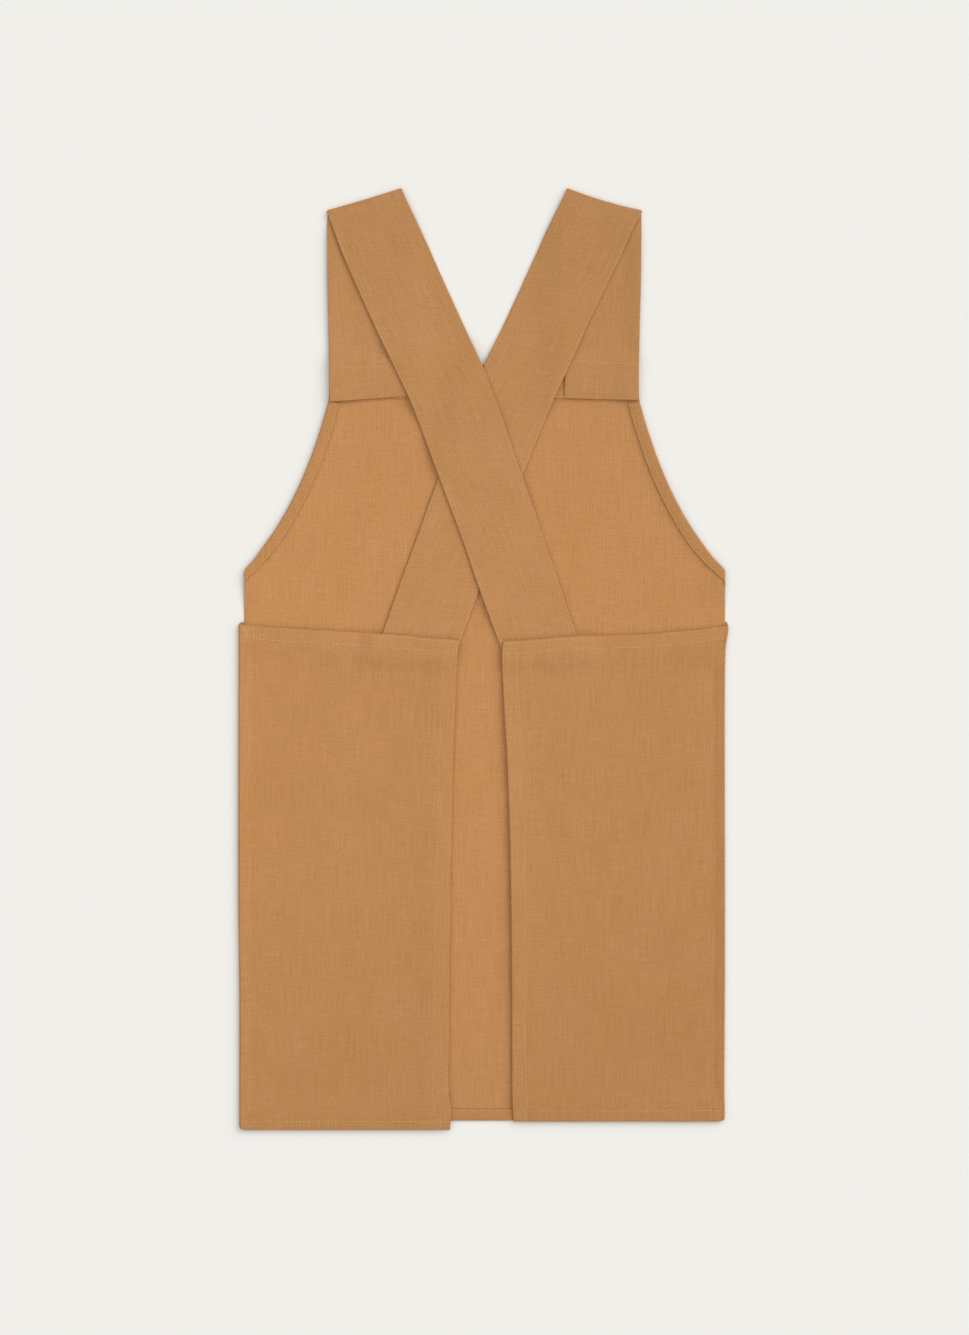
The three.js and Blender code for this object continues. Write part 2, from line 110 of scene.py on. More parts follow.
# The centre edges of the back panels. down: share of the panel's length. left, right: share of half
# the opening. left_lift, right_lift: share of the height at which that edge stands. left_row,
# right_row: how far the row of stitches is from the edge, as a share of the hem's width.
CENTRE_EDGES = np.rec.fromrecords([
    (0.000, 0.68, 0.67, 0.2, 0.2, 0.89, 0.93),
    (0.025, 0.75, 0.63, 0.3, 0.3, 0.89, 0.98),
    (0.120, 0.82, 0.68, 1.0, 0.9, 0.91, 0.98),
    (0.240, 0.89, 0.79, 0.9, 1.0, 0.93, 1.00),
    (0.470, 0.97, 0.90, 0.8, 1.0, 0.96, 0.97),
    (0.730, 1.01, 0.94, 0.7, 0.8, 1.03, 0.90),
    (0.930, 1.03, 0.95, 0.8, 0.6, 1.14, 0.96),
    (0.960, 0.97, 0.96, 0.5, 0.4, 1.14, 0.97),
    (1.000, 0.99, 1.00, 0.2, 0.2, 1.14, 0.97),
], names="down, left, right, left_lift, right_lift, left_row, right_row")

# The waist edges of the back panels. across: share from the centre edge to the side.
# left, right: share of how far the edge has dropped there.
WAIST_EDGES = np.rec.fromrecords([
    (0.00, 1.00, 1.08),
    (0.34, 0.60, 0.72),
    (0.55, 0.42, 0.65),
    (0.78, 0.23, 0.44),
    (1.00, 0.00, 0.08),
], names="across, left, right")

# The side folds. down: share of the panel's length. left, right: how far the fold stands out past its
# usual place, as a share of the bulge.
SIDE_FOLDS = np.rec.fromrecords([
    (0.00, -0.30, 0.90),
    (0.01, -0.30, 1.00),
    (0.025, -0.30, 0.72),
    (0.04, -0.30, 0.33),
    (0.06, -0.30, 0.10),
    (0.12, -0.29, -0.07),
    (0.33, -0.20, -0.08),
    (0.54, -0.21, -0.02),
    (0.74, -0.54, -0.06),
    (0.90, -0.52, -0.20),
    (1.00, -0.50, -0.20),
], names="down, left, right")

# What differs between the two sides, in millimetres.
# Front: sign is which way is outwards, slip how far the plain side below the armhole is pulled in,
# and roll how far the side seam has rolled under.
# Back panel: lip is the flat cloth between seam and fold, fold the height of the side fold, rise how
# far that fold climbs at the waist, hang how far the panel hangs below the front, edge the height of
# its lifted centre edge, and hem the width of its bottom hem.
# Strap: end and slant say how far below the bib's top its front end lies, and how much higher that
# end is on its inner side. flare is how much wider the strap is there, lean how far it moves outwards
# up to the shoulder, hollow how far its fold line curves in, and rows how far its row of stitches is
# above that end, at the outer and at the inner edge.
SIDES = {
    "left": SimpleNamespace(sign=-1, slip=0.8, roll=0.0, lip=3.5, fold=4.6, rise=2.2,
                            hang=9.2, edge=3.2, hem=10.0,
                            end=37.8, slant=6.1, flare=5.0, lean=1.9, hollow=0.5,
                            rows=(34.9, 29.4)),
    "right": SimpleNamespace(sign=1, slip=-0.5, roll=3.4, lip=0.9, fold=3.4, rise=4.4,
                             hang=0.8, edge=5.0, hem=12.3,
                             end=36.0, slant=1.9, flare=0.0, lean=2.6, hollow=1.7,
                             rows=(35.9, 38.8)),
}


def linear(code):
    """A colour's sRGB hex code as linear red, green and blue."""
    share = np.array([int(code[start:start + 2], 16) / 255 for start in (1, 3, 5)])
    low, high = share / 12.92, ((share + 0.055) / 1.055) ** 2.4
    return tuple(np.where(share <= 0.04045, low, high))


def length(name, description, default):
    """A length property, whose default is given in millimetres."""
    return FloatProperty(name=name, description=description, default=default * MM, min=0.0,
                         precision=5, unit="LENGTH")


def colour(name, description, code):
    """A colour property, whose default is given as an sRGB hex code."""
    return FloatVectorProperty(name=name, description=description, default=linear(code), min=0.0,
                               max=1.0, subtype="COLOR")


class ApronSizes(bpy.types.PropertyGroup):
    cloth_thickness: length("Cloth", "Thickness of one layer of cloth", 1.0)
    strap_thickness: length("Strap thickness", "Thickness of a strap, which is two layers", 2.0)
    lay_gap: length("Gap", "Clearance between layers that lie on each other", 0.3)
    edge_curl: length("Edge curl", "How far free edges stand up from the floor", 2.2)
    bib_width: length("Bib width", "Width of the bib at its top", BIB_WIDTH)
    bib_side: length("Bib side", "Straight side of the bib above the armhole", 37.0)
    bib_hem: length("Bib hem", "Width of the hem along the bib's top", BIB_HEM)
    armhole_depth: length("Armhole depth", "Height of the armhole's curve", 168.0)
    armhole_to_seam: length("Armhole to seam", "Plain side between armhole and side seam", 50.0)
    facing: length("Facing", "Width of the band inside the armhole", 11.5)
    skirt_width: length("Skirt width", "Width of the front skirt", SKIRT_WIDTH)
    front_hem: length("Front hem", "Width of the hem along the front's bottom", 11.7)
    strap_width: length("Strap width", "Width of a strap, square across", 75.0)
    shoulder_rise: length("Shoulder rise", "How far the straps reach above the bib", 176.4)
    shoulder_slant: length("Shoulder slant", "How much lower the outer corner of the fold is", 22.5)
    corner_radius: length("Corner radius", "Radius of the corners of the shoulder fold", 1.6)
    seam_rise: length("Seam rise", "How far the side seam's top stands above the waist edge", 5.0)
    waist_drop: length("Waist drop", "How much lower the waist edge is at the centre", 16.0)
    back_opening: length("Back opening", "Distance between the back panels at the bottom", 63.6)
    opening_shift: FloatProperty(name="Opening shift", description="How far right the opening lies",
                                 default=-2.3 * MM, unit="LENGTH")
    side_bulge: length("Side bulge", "How far the side fold stands out where it bulges most", 3.3)
    waist_hem: length("Waist hem", "Width of the hem along the waist edge", 14.4)
    hem_row: length("Hem row", "Distance from a hem's free edge to its row of stitches", 1.1)
    centre_hem: length("Centre hem", "Width of the hem along the back opening", 15.0)
    stitch: length("Stitch", "Distance from one stitch to the next", 3.2)
    thread: length("Thread", "Diameter of the sewing thread, drawn coarse so that it shows", 0.9)


class ApronColours(bpy.types.PropertyGroup):
    outer: colour("Outer cloth", "Outer face of the cloth, on the back panels", "#be864f")
    inner: colour("Inner cloth", "Inner face of the cloth, in the bib and the front", "#c48a52")
    strap: colour("Strap cloth", "Cloth of the straps", "#bf8852")
    thread: colour("Thread", "Sewing thread", "#f2c489")
    floor: colour("Floor", "Pale surface that the apron lies on", "#f1f0ec")


def sizes():
    """All sizes of the apron in millimetres, with the heights that follow from them."""
    group = bpy.context.scene.apron_sizes
    size = SimpleNamespace(**{name: getattr(group, name) / MM for name in group.__annotations__})
    size.bib_half = size.bib_width / 2
    size.skirt_half = size.skirt_width / 2
    size.armhole_top = FRONT_LENGTH - size.bib_side
    size.armhole_end = size.armhole_top - size.armhole_depth
    size.seam_top = size.armhole_end - size.armhole_to_seam
    size.waist_top = size.seam_top - size.seam_rise
    return size


def smooth(share):
    """A smooth step from 0 to 1."""
    share = np.clip(share, 0, 1)
    return share * share * (3 - 2 * share)


def along(table, key, place, column):
    """A cubic through the rows of a table's column, whose slope at a row is that of the straight
    line between the rows before and after it."""
    knots, values = table[key], table[column]
    rows = np.arange(len(knots))
    before, after = np.maximum(rows - 1, 0), np.minimum(rows + 1, rows[-1])
    slopes = (values[after] - values[before]) / (knots[after] - knots[before])
    row = np.clip(np.searchsorted(knots, place, side="right") - 1, 0, len(knots) - 2)
    gap = knots[row + 1] - knots[row]
    t = (place - knots[row]) / gap
    return ((1 + 2 * t) * (1 - t) ** 2 * values[row] + t * (1 - t) ** 2 * gap * slopes[row]
            + t * t * (3 - 2 * t) * values[row + 1] + t * t * (t - 1) * gap * slopes[row + 1])


def drift(x, y, height, wave, seed):
    """Slow waves as in cloth laid by hand: the mean of six sines of mixed directions and lengths
    near the given wave, from 0 to the given height."""
    pick = np.random.default_rng(seed)
    angles = pick.uniform(0, np.pi, 6)
    lengths = wave * pick.uniform(0.6, 1.7, 6)
    phases = pick.uniform(0, 2 * np.pi, 6)
    total = 0
    for angle, one, phase in zip(angles, lengths, phases):
        total = total + np.sin(2 * np.pi * (x * np.cos(angle) + y * np.sin(angle)) / one + phase)
    return height * (0.5 + total / 12)


class Pile:
    """The heights of all cloth laid so far, on a grid of square cells seen from above."""

    CELL = 1.0
    SPARE = 30.0

    def __init__(self, size):
        self.left = -size.skirt_half - self.SPARE
        self.bottom = -self.SPARE
        columns = int(2 * -self.left / self.CELL)
        rows = int((FRONT_LENGTH + size.shoulder_rise + 2 * self.SPARE) / self.CELL)
        self.height = np.zeros((rows, columns))
        self.gap = size.lay_gap

    def cells(self, x, y):
        """Places as fractions of rows and columns, kept inside the grid."""
        column = np.clip((x - self.left) / self.CELL - 0.5, 0, self.height.shape[1] - 1.001)
        row = np.clip((y - self.bottom) / self.CELL - 0.5, 0, self.height.shape[0] - 1.001)
        return row, column

    def add(self, points):
        """Raises the cells under a grid of points, after cutting each step of the grid into parts
        shorter than a cell."""
        for axis in (0, 1):
            steps = np.linalg.norm(np.diff(points, axis=axis), axis=-1)
            parts = int(np.ceil(steps.max() / (0.6 * self.CELL)))
            start = np.delete(points, -1, axis)
            end = np.delete(points, 0, axis)
            shares = (np.arange(parts + 1) / parts).reshape(-1, *[1] * points.ndim)
            points = start + (end - start) * shares
            points = np.concatenate(list(points), axis=axis)
        row, column = self.cells(points[..., 0], points[..., 1])
        place = (np.rint(row).astype(int), np.rint(column).astype(int))
        np.maximum.at(self.height, place, points[..., 2])

    def softened(self, reach):
        """The greatest height within reach of each cell, averaged over the same reach, as thick
        cloth lies over an edge."""
        field = self.height
        cells = max(1, round(reach / self.CELL))
        half = max(1, cells // 2)
        for axis in (0, 1):
            field = np.max([np.roll(field, step, axis) for step in range(-cells, cells + 1)], axis=0)
        for axis in (0, 1, 0, 1):
            field = np.mean([np.roll(field, step, axis) for step in range(-half, half + 1)], axis=0)
        return field

    def sample(self, field, x, y):
        """The field between its cells, by the nearest four."""
        row, column = self.cells(x, y)
        low_row, low_column = row.astype(int), column.astype(int)
        r, c = row - low_row, column - low_column
        return ((1 - r) * (1 - c) * field[low_row, low_column]
                + (1 - r) * c * field[low_row, low_column + 1]
                + r * (1 - c) * field[low_row + 1, low_column]
                + r * c * field[low_row + 1, low_column + 1])

    def rest(self, x, y, reach):
        """Where the underside of new cloth lies: on the floor, or a gap above what is there."""
        height = self.sample(self.softened(reach), x, y)
        return height + self.gap * smooth(height / 0.5)

    def top(self, x, y):
        """The upper face of what lies at a place."""
        return self.sample(self.height, x, y)


PILE = SimpleNamespace(now=None)


def round_edge(thickness):
    """Grid lines at a cut or folded edge: distance in, drop and distance from the rim."""
    inward = thickness / 2 * np.array([0.0, 0.07, 0.3, 0.65, 1.0])
    return np.stack([inward, 0 * inward, inward])


def turned_edge(size):
    """Grid lines at an edge that curls down over the hem below it, in a quarter circle whose radius
    is half the step between the two layers."""
    radius = (size.cloth_thickness + size.lay_gap) / 2
    angle = np.linspace(np.pi / 2, 0, 6)
    inward = size.cloth_thickness / 2 + radius * (1 - np.sin(angle))
    return np.stack([inward, radius * (1 - np.cos(angle)), radius * (np.pi / 2 - angle)])


def grid_lines(total, start, end, step, marks=()):
    """Lines across a length: those of both edges, even ones between, and closer ones at each mark.
    Gives their distance from the start, their drop and their distance from the rim."""
    near_mark, near_edge = 2.1, 0.2
    first, last = start[0, -1], total - end[0, -1]
    inner = np.linspace(first, last, max(3, int(round((last - first) / step)) + 1))[1:-1]
    for mark in marks:
        close = mark + np.linspace(-near_mark, near_mark, 8)
        inner = np.concatenate([inner[np.abs(inner - mark) > near_mark + step / 3], close])
    inner = np.sort(inner[(inner > first + near_edge) & (inner < last - near_edge)])
    rim = np.full(inner.shape, FAR)
    mirrored = end[:, ::-1] * np.array([[-1], [1], [1]]) + np.array([[total], [0], [0]])
    return np.concatenate([start, np.stack([inner, 0 * inner, rim]), mirrored], axis=1)


def half_wall(rim_u, rim_v, thickness):
    """Half the thickness of a wall, which runs out at its rim in a quarter circle. rim_u and rim_v
    are the distances of its columns and rows from the rim."""
    inside = np.clip(np.minimum(rim_u[None, :], rim_v[:, None]) / (thickness / 2), 0, 1)
    return thickness / 2 * np.sqrt(1 - (1 - inside) ** 2)


def travelled(points):
    """The distance along a line to each of its points."""
    steps = np.linalg.norm(np.diff(points, axis=0), axis=1)
    return np.concatenate([[0], np.cumsum(steps)])


def quads(grid):
    """The corners of each cell of a grid of vertex numbers."""
    corners = [grid[:-1, :-1], grid[1:, :-1], grid[1:, 1:], grid[:-1, 1:]]
    return np.stack(corners, -1).reshape(-1, 4)


def row_relief(distance, travel, depth, pucker, wave):
    """The groove that a row of stitches presses into cloth, and the puckers that it draws."""
    groove = -depth * np.exp(-(distance / GROOVE_HALF) ** 2)
    fading = np.exp(-(distance / PUCKER_REACH) ** 2)
    return groove + pucker * np.sin(2 * np.pi * travel / wave) * fading


def new_mesh(name, vertices, faces, uv, finish):
    """A smooth mesh object from arrays of places in millimetres, corners of quads and UV places."""
    mesh = bpy.data.meshes.new(name)
    placed = (vertices + np.array([MIDDLE_X, BIB_TOP_Y - FRONT_LENGTH, 0])) * MM
    corners = faces.ravel()
    mesh.vertices.add(len(placed))
    mesh.vertices.foreach_set("co", placed.ravel())
    mesh.loops.add(len(corners))
    mesh.loops.foreach_set("vertex_index", corners)
    mesh.polygons.add(len(faces))
    mesh.polygons.foreach_set("loop_start", np.arange(len(faces)) * faces.shape[1])
    mesh.polygons.foreach_set("use_smooth", np.ones(len(faces), bool))
    mesh.uv_layers.new(name="Cloth").data.foreach_set("uv", uv[corners].ravel())
    mesh.update(calc_edges=True)
    mesh.validate()
    mesh.materials.append(finish)
    piece = bpy.data.objects.new(name, mesh)
    bpy.context.scene.collection.objects.link(piece)
    return piece


def turned_out(vertices, faces):
    """The faces, reversed where the volume that they close is negative."""
    a, b, c, d = (vertices[faces[:, corner]] for corner in range(4))
    volume = (a * np.cross(b, c)).sum() + (a * np.cross(c, d)).sum()
    return faces[:, ::-1] if volume < 0 else faces


def cloth_wall(name, middle, half, uv, finish):
    """A closed wall of cloth: its two faces are the middle surface moved by half the thickness along
    its normal, one up and one down, and they meet along the rim, where that half is zero.
    Gives the object and the grid of its upper face."""
    rows, columns = half.shape
    normal = np.cross(np.gradient(middle, axis=1), np.gradient(middle, axis=0))
    normal /= np.maximum(np.linalg.norm(normal, axis=-1, keepdims=True), 1e-9)
    one = middle + normal * half[..., None]
    other = middle - normal * half[..., None]
    upper = np.arange(rows * columns).reshape(rows, columns)
    lower = upper.copy()
    inside = np.arange((rows - 2) * (columns - 2)).reshape(rows - 2, columns - 2)
    lower[1:-1, 1:-1] = rows * columns + inside
    faces = np.concatenate([quads(upper), quads(lower)[:, ::-1]])
    vertices = np.concatenate([one.reshape(-1, 3), other[1:-1, 1:-1].reshape(-1, 3)])
    places = np.concatenate([uv.reshape(-1, 2), uv[1:-1, 1:-1].reshape(-1, 2)]) * MM
    faces = turned_out(vertices, faces)
    piece = new_mesh(name, vertices, faces, places, finish)
    return piece, np.where(one[..., 2:] > other[..., 2:], one, other)


def mark_painted_brightening(piece, share):
    """Marks where light is painted on a wall of cloth to brighten it, by a share for each point of
    its grid.
    """
    paler = piece.data.attributes.new("paler", "FLOAT", "POINT")
    paler.data.foreach_set("value", np.concatenate([share.ravel(), share[1:-1, 1:-1].ravel()]))


def laid_cloth(name, place, across, down, thickness, reach, finish, relief=0.0, lift=0.0):
    """Cloth laid on the pile. place turns distances across and down the piece into X and Y. The
    height is the greater of the pile's and the lift, plus the relief, less the drop at turned
    edges."""
    u, v = np.meshgrid(across[0], down[0])
    x, y = place(u, v)
    rest = np.maximum(PILE.now.rest(x, y, reach), lift)
    drop = np.maximum(across[1][None, :], down[1][:, None])
    middle = np.stack([x, y, rest + thickness / 2 + relief - drop], -1)
    half = half_wall(across[2], down[2], thickness)
    return cloth_wall(name, middle, half, np.stack([x, y], -1), finish)


# Materials


def set_constant(socket, value):
    """Gives a socket its constant, with an alpha of 1 added to a colour."""
    if hasattr(value, "__len__") and len(value) == 3 and socket.type == "RGBA":
        value = (*value, 1.0)
    socket.default_value = value


def add_node(tree, kind, settings=None, **inputs):
    """Adds a node, sets its settings, and links or sets its inputs, given by name or as input_N."""
    node = tree.nodes.new(kind)
    for key, value in (settings or {}).items():
        setattr(node, key, value)
    for key, value in inputs.items():
        name = key.replace("_", " ")
        socket = node.inputs[int(name[6:])] if name.startswith("input ") else node.inputs[name]
        if isinstance(value, bpy.types.NodeSocket):
            tree.links.new(value, socket)
        else:
            set_constant(socket, value)
    return node


def result_of(tree, kind, operation, *values, **settings):
    """What a Math or VectorMath node makes of its values, given in order."""
    inputs = {f"input_{place}": value for place, value in enumerate(values)}
    settings["operation"] = operation
    return add_node(tree, f"ShaderNode{kind}", settings, **inputs).outputs[0]


def mixed(tree, share, one, other, blend="MIX"):
    """A colour mixed from two others by a share."""
    return add_node(tree, "ShaderNodeMix", {"data_type": "RGBA", "blend_type": blend},
                    input_0=share, input_6=one, input_7=other).outputs[2]


def wave_scale(spacing):
    """The scale of a Wave Texture whose bands lie the given number of millimetres apart."""
    return 2 * np.pi / 20 / (spacing * MM)


def empty_material(name):
    """A new material without any node."""
    made = bpy.data.materials.new(name)
    made.use_nodes = True
    made.node_tree.nodes.clear()
    return made


def woven_linen(name, base, seed):
    """Plain woven linen and cotton, coloured by dyeing in the piece: matt, a little fuzzy, with a
    crosshatch of uneven threads. The eye sees long pale and dark slubs along the warp, shorter ones
    along the weft, and slow shifts between a yellower and a redder tan. Painted shade darkens it away
    from the apron's middle, and painted light brightens marked fold edges and hems."""
    made = empty_material(name)
    tree = made.node_tree
    cloth = add_node(tree, "ShaderNodeUVMap", {"uv_map": "Cloth"}).outputs["UV"]

    def stretched(width, run, detail, offset):
        """Noise drawn out along one direction: width and run are its size in millimetres."""
        scale = (1 / (width * MM), 1 / (run * MM), 1.0)
        mapped = add_node(tree, "ShaderNodeMapping", Vector=cloth, Scale=scale,
                          Location=(seed + offset, seed - offset, 0))
        noise = add_node(tree, "ShaderNodeTexNoise", {"noise_dimensions": "2D"},
                         Vector=mapped.outputs["Vector"], Scale=1.0, Detail=detail, Roughness=0.6)
        return noise.outputs["Fac"]

    def summed(parts):
        """The weighted sum of values, each taken about its middle."""
        total = 0.0
        for value, weight in parts:
            centred = result_of(tree, "Math", "MULTIPLY_ADD", value, weight, -0.5 * weight)
            total = result_of(tree, "Math", "ADD", total, centred)
        return total

    def threads(direction):
        """Even ribs across one direction. Threads lie 0.6 mm apart in such cloth, and are drawn
        1.1 mm apart, or they wouldn't show."""
        wave = add_node(tree, "ShaderNodeTexWave", {"bands_direction": direction}, Vector=cloth,
                        Scale=wave_scale(1.1), Distortion=1.2, Detail=1.0, Detail_Scale=0.4)
        return wave.outputs["Fac"]

    warp, weft = threads("X"), threads("Y")
    warp_slub = stretched(1.3, 42.0, 3.0, 3.1)
    weft_slub = stretched(26.0, 1.2, 3.0, 7.7)
    crumb = stretched(1.3, 1.3, 1.0, 1.3)
    tone = stretched(5.0, 6.0, 1.0, 5.9)
    wide_tone = stretched(60.0, 90.0, 1.0, 9.2)

    # A pale thread is less saturated than a dark one, so blue varies more than red.
    light = summed([(warp_slub, 1.6), (weft_slub, 1.25), (crumb, 2.5), (warp, 0.25), (weft, 0.25),
                    (wide_tone, 0.3)])
    shade = result_of(tree, "Math", "ADD", light, 0.5, use_clamp=True)
    dark = tuple(np.array(base) * (0.90, 0.875, 0.79))
    pale = tuple(np.minimum(np.array(base) * (1.10, 1.125, 1.21), 1))
    ground = mixed(tree, shade, dark, pale)
    hue = summed([(tone, 1.8), (wide_tone, 0.5)])
    hue = result_of(tree, "Math", "ADD", hue, 0.5, use_clamp=True)
    tint = mixed(tree, hue, (0.99, 0.995, 0.86), (1.01, 1.005, 1.14))
    dye_and_painted_light = mixed(tree, 1.0, ground, tint, "MULTIPLY")

    # Painted shade: the cloth's colour is darkened away from the middle of the apron, by up to a
    # tenth at its top and bottom, and by a fortieth towards its right side, where the light falls
    # off.
    place = add_node(tree, "ShaderNodeTexCoord").outputs["Object"]
    right, up, _ = add_node(tree, "ShaderNodeSeparateXYZ", Vector=place).outputs
    painted_falloff = result_of(tree, "Math", "MULTIPLY", up, up)
    painted_falloff = result_of(tree, "Math", "MULTIPLY_ADD", painted_falloff, -0.42, 1.0)
    painted_falloff = result_of(tree, "Math", "MULTIPLY_ADD", right, -0.1, painted_falloff)
    dye_and_painted_light = add_node(tree, "ShaderNodeVectorMath", {"operation": "SCALE"}, input_0=dye_and_painted_light,
                    Scale=painted_falloff).outputs[0]

    # Painted highlight and painted light: where marked, the cloth is a little lighter and less
    # saturated, for the light caught by the straps' outer fold edges and given back by hems over more
    # layers.
    paler = add_node(tree, "ShaderNodeAttribute", {"attribute_name": "paler"})
    paler = result_of(tree, "VectorMath", "MULTIPLY_ADD", paler.outputs["Vector"],
                      (0.05, 0.1, 0.15), (1.0, 1.0, 1.0))
    dye_and_painted_light = result_of(tree, "VectorMath", "MULTIPLY", dye_and_painted_light, paler)

    relief = summed([(warp, 0.5), (weft, 0.5), (warp_slub, 0.9), (weft_slub, 0.7), (crumb, 0.8)])
    bump = add_node(tree, "ShaderNodeBump", Height=relief, Strength=0.5, Distance=0.25 * MM)
    shader = add_node(tree, "ShaderNodeBsdfPrincipled", Base_Color=dye_and_painted_light, Roughness=0.88,
                      Sheen_Weight=0.12, Sheen_Roughness=0.5, Normal=bump.outputs["Normal"])
    add_node(tree, "ShaderNodeOutputMaterial", Surface=shader.outputs["BSDF"])
    return made


def sewing_thread(name, base):
    """Twisted cotton thread: matt, paler than the cloth, with a fine diagonal ply."""
    made = empty_material(name)
    tree = made.node_tree
    place = add_node(tree, "ShaderNodeTexCoord").outputs["Object"]
    # The two plies of such thread cross it every 0.5 mm or so.
    ply = add_node(tree, "ShaderNodeTexWave", {"bands_direction": "DIAGONAL"}, Vector=place,
                   Scale=wave_scale(0.5))
    shade = mixed(tree, ply.outputs["Fac"], tuple(np.array(base) * 0.85), base)
    shader = add_node(tree, "ShaderNodeBsdfPrincipled", Base_Color=shade, Roughness=0.7)
    add_node(tree, "ShaderNodeOutputMaterial", Surface=shader.outputs["BSDF"])
    return made


def smooth_paper(name, base):
    """Matt background paper, which spreads the light evenly and shows only a faint grain."""
    made = empty_material(name)
    tree = made.node_tree
    place = add_node(tree, "ShaderNodeTexCoord").outputs["Object"]
    grain = add_node(tree, "ShaderNodeTexNoise", Vector=place, Scale=1 / (4 * MM), Detail=2.0)
    shade = mixed(tree, grain.outputs["Fac"], tuple(np.array(base) * 0.995), base)
    shader = add_node(tree, "ShaderNodeBsdfPrincipled", Base_Color=shade, Roughness=0.95,
                      Specular_IOR_Level=0.1)
    add_node(tree, "ShaderNodeOutputMaterial", Surface=shader.outputs["BSDF"])
    return made


def material(kind):
    """The material of that kind, made the first time that a piece asks for it."""
    name, make, *seed = {
        "outer": ("linen_outer_face", woven_linen, 11.0),
        "inner": ("linen_inner_face", woven_linen, 23.0),
        "strap": ("linen_strap", woven_linen, 37.0),
        "thread": ("cotton_thread", sewing_thread),
        "floor": ("background_paper", smooth_paper),
    }[kind]
    if name in bpy.data.materials:
        return bpy.data.materials[name]
    return make(name, tuple(getattr(bpy.context.scene.apron_colours, kind)), *seed)


def settle(piece, node, flat, area):
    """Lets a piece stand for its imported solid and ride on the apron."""
    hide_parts(node)
    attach(piece, "root")
    area = min(area, flat[0] * flat[1]) * MM * MM


# Front panel


def armhole_curve(size):
    """The armhole's Bezier curve, as distance from the middle and height of its points. It goes on
    a little way down the side, is averaged over 9 steps of its length so that the corner there is a
    little round, and is drawn in by 1 mm just above that corner."""
    step, averaged, past_end, first = 0.5, 9, 8, 12
    t = np.linspace(0, 1, 200)
    weights = [(1 - t) ** 3, 3 * (1 - t) ** 2 * t, 3 * (1 - t) * t * t, t ** 3]
    out = sum(weight * share for weight, share in zip(weights, ARMHOLE.out))
    down = sum(weight * share for weight, share in zip(weights, ARMHOLE.down))
    x = size.bib_half + (size.skirt_half - size.bib_half) * out
    y = size.armhole_top - size.armhole_depth * down
    x = np.concatenate([[x[0]], x, [x[-1]]])
    y = np.concatenate([[y[0] + past_end], y, [y[-1] - past_end]])
    travel = travelled(np.stack([x, y], -1))
    even = np.arange(0, travel[-1], step)
    x, y = np.interp(even, travel, x), np.interp(even, travel, y)
    x, y = (np.convolve(line, np.ones(averaged) / averaged, "valid") for line in (x, y))
    x = x - np.exp(-((y - size.armhole_end - 11) / 9) ** 2)
    return x[first:], y[first:]


def side_slip(size, y, side):
    """How far the front panel's side lies in from its full width, below the armhole."""
    return SIDES[side].slip * smooth((size.armhole_end + 20 - y) / 20)


def front_half_width(size, y, side):
    """How far the front panel reaches from its middle at a height: the armhole's curve between the
    bib's and the skirt's straight sides, less what the bib's side, the slip below the armhole and the
    roll of the side seam take off."""
    bib_inset = 0.7
    curve_x, curve_y = armhole_curve(size)
    width = np.interp(y, curve_y[::-1], curve_x[::-1])
    width = width - bib_inset * smooth((y - size.armhole_top + 4) / 14)
    width = width - side_slip(size, y, side)
    return width - SIDES[side].roll * smooth((size.seam_top - 2.5 - y) / 3)


def bottom_edge(size, x):
    """The height of the front's bottom edge, which sinks towards its left corner."""
    start = size.back_opening / 2
    return -LOWEST_CORNER * smooth((-x - start) / (size.skirt_half - start))


def front_place(size):
    """Places on the front panel from distances across its full width and down its length."""
    def place(u, v):
        y = FRONT_LENGTH - v
        left = -front_half_width(size, y, "left")
        right = front_half_width(size, y, "right")
        x = left + (right - left) * u / size.skirt_width
        return x, y + bottom_edge(size, x) * smooth(1 - y / 120)
    return place


def flat_area(points):
    """The area of a grid of points seen from above, in square millimetres."""
    a, b = points[1:, 1:, :2] - points[:-1, :-1, :2], points[1:, :-1, :2] - points[:-1, 1:, :2]
    return float(np.abs(a[..., 0] * b[..., 1] - a[..., 1] * b[..., 0]).sum() / 2)


class APRON_OT_front_panel(bpy.types.Operator):
    """Lay the bib and front skirt on the floor, inner face up"""
    bl_idname = "apron.front_panel"
    bl_label = "Front panel"

    def execute(self, context):
        size = sizes()
        PILE.now = Pile(size)
        edge = round_edge(size.cloth_thickness)
        across = grid_lines(size.skirt_width, edge, edge, 3.1)
        down = grid_lines(FRONT_LENGTH, edge, edge, 3.1)
        place = front_place(size)
        u, v = np.meshgrid(across[0], down[0])
        x, y = place(u, v)
        # Above the side seam the panel's sides curl up over their last 28 mm.
        above_seam = smooth((y - size.seam_top - 4) / 30)
        from_side = np.minimum(u, size.skirt_width - u)
        curl = size.edge_curl * smooth(1 - from_side / 28) * above_seam
        piece, top = laid_cloth("front_panel_cloth", place, across, down, size.cloth_thickness, 1,
                                material("inner"), relief=drift(x, y, 0.35, 70, 1), lift=curl)
        PILE.now.add(top)
        settle(piece, "front_panel", (size.skirt_width, FRONT_LENGTH), flat_area(top))
        return {"FINISHED"}


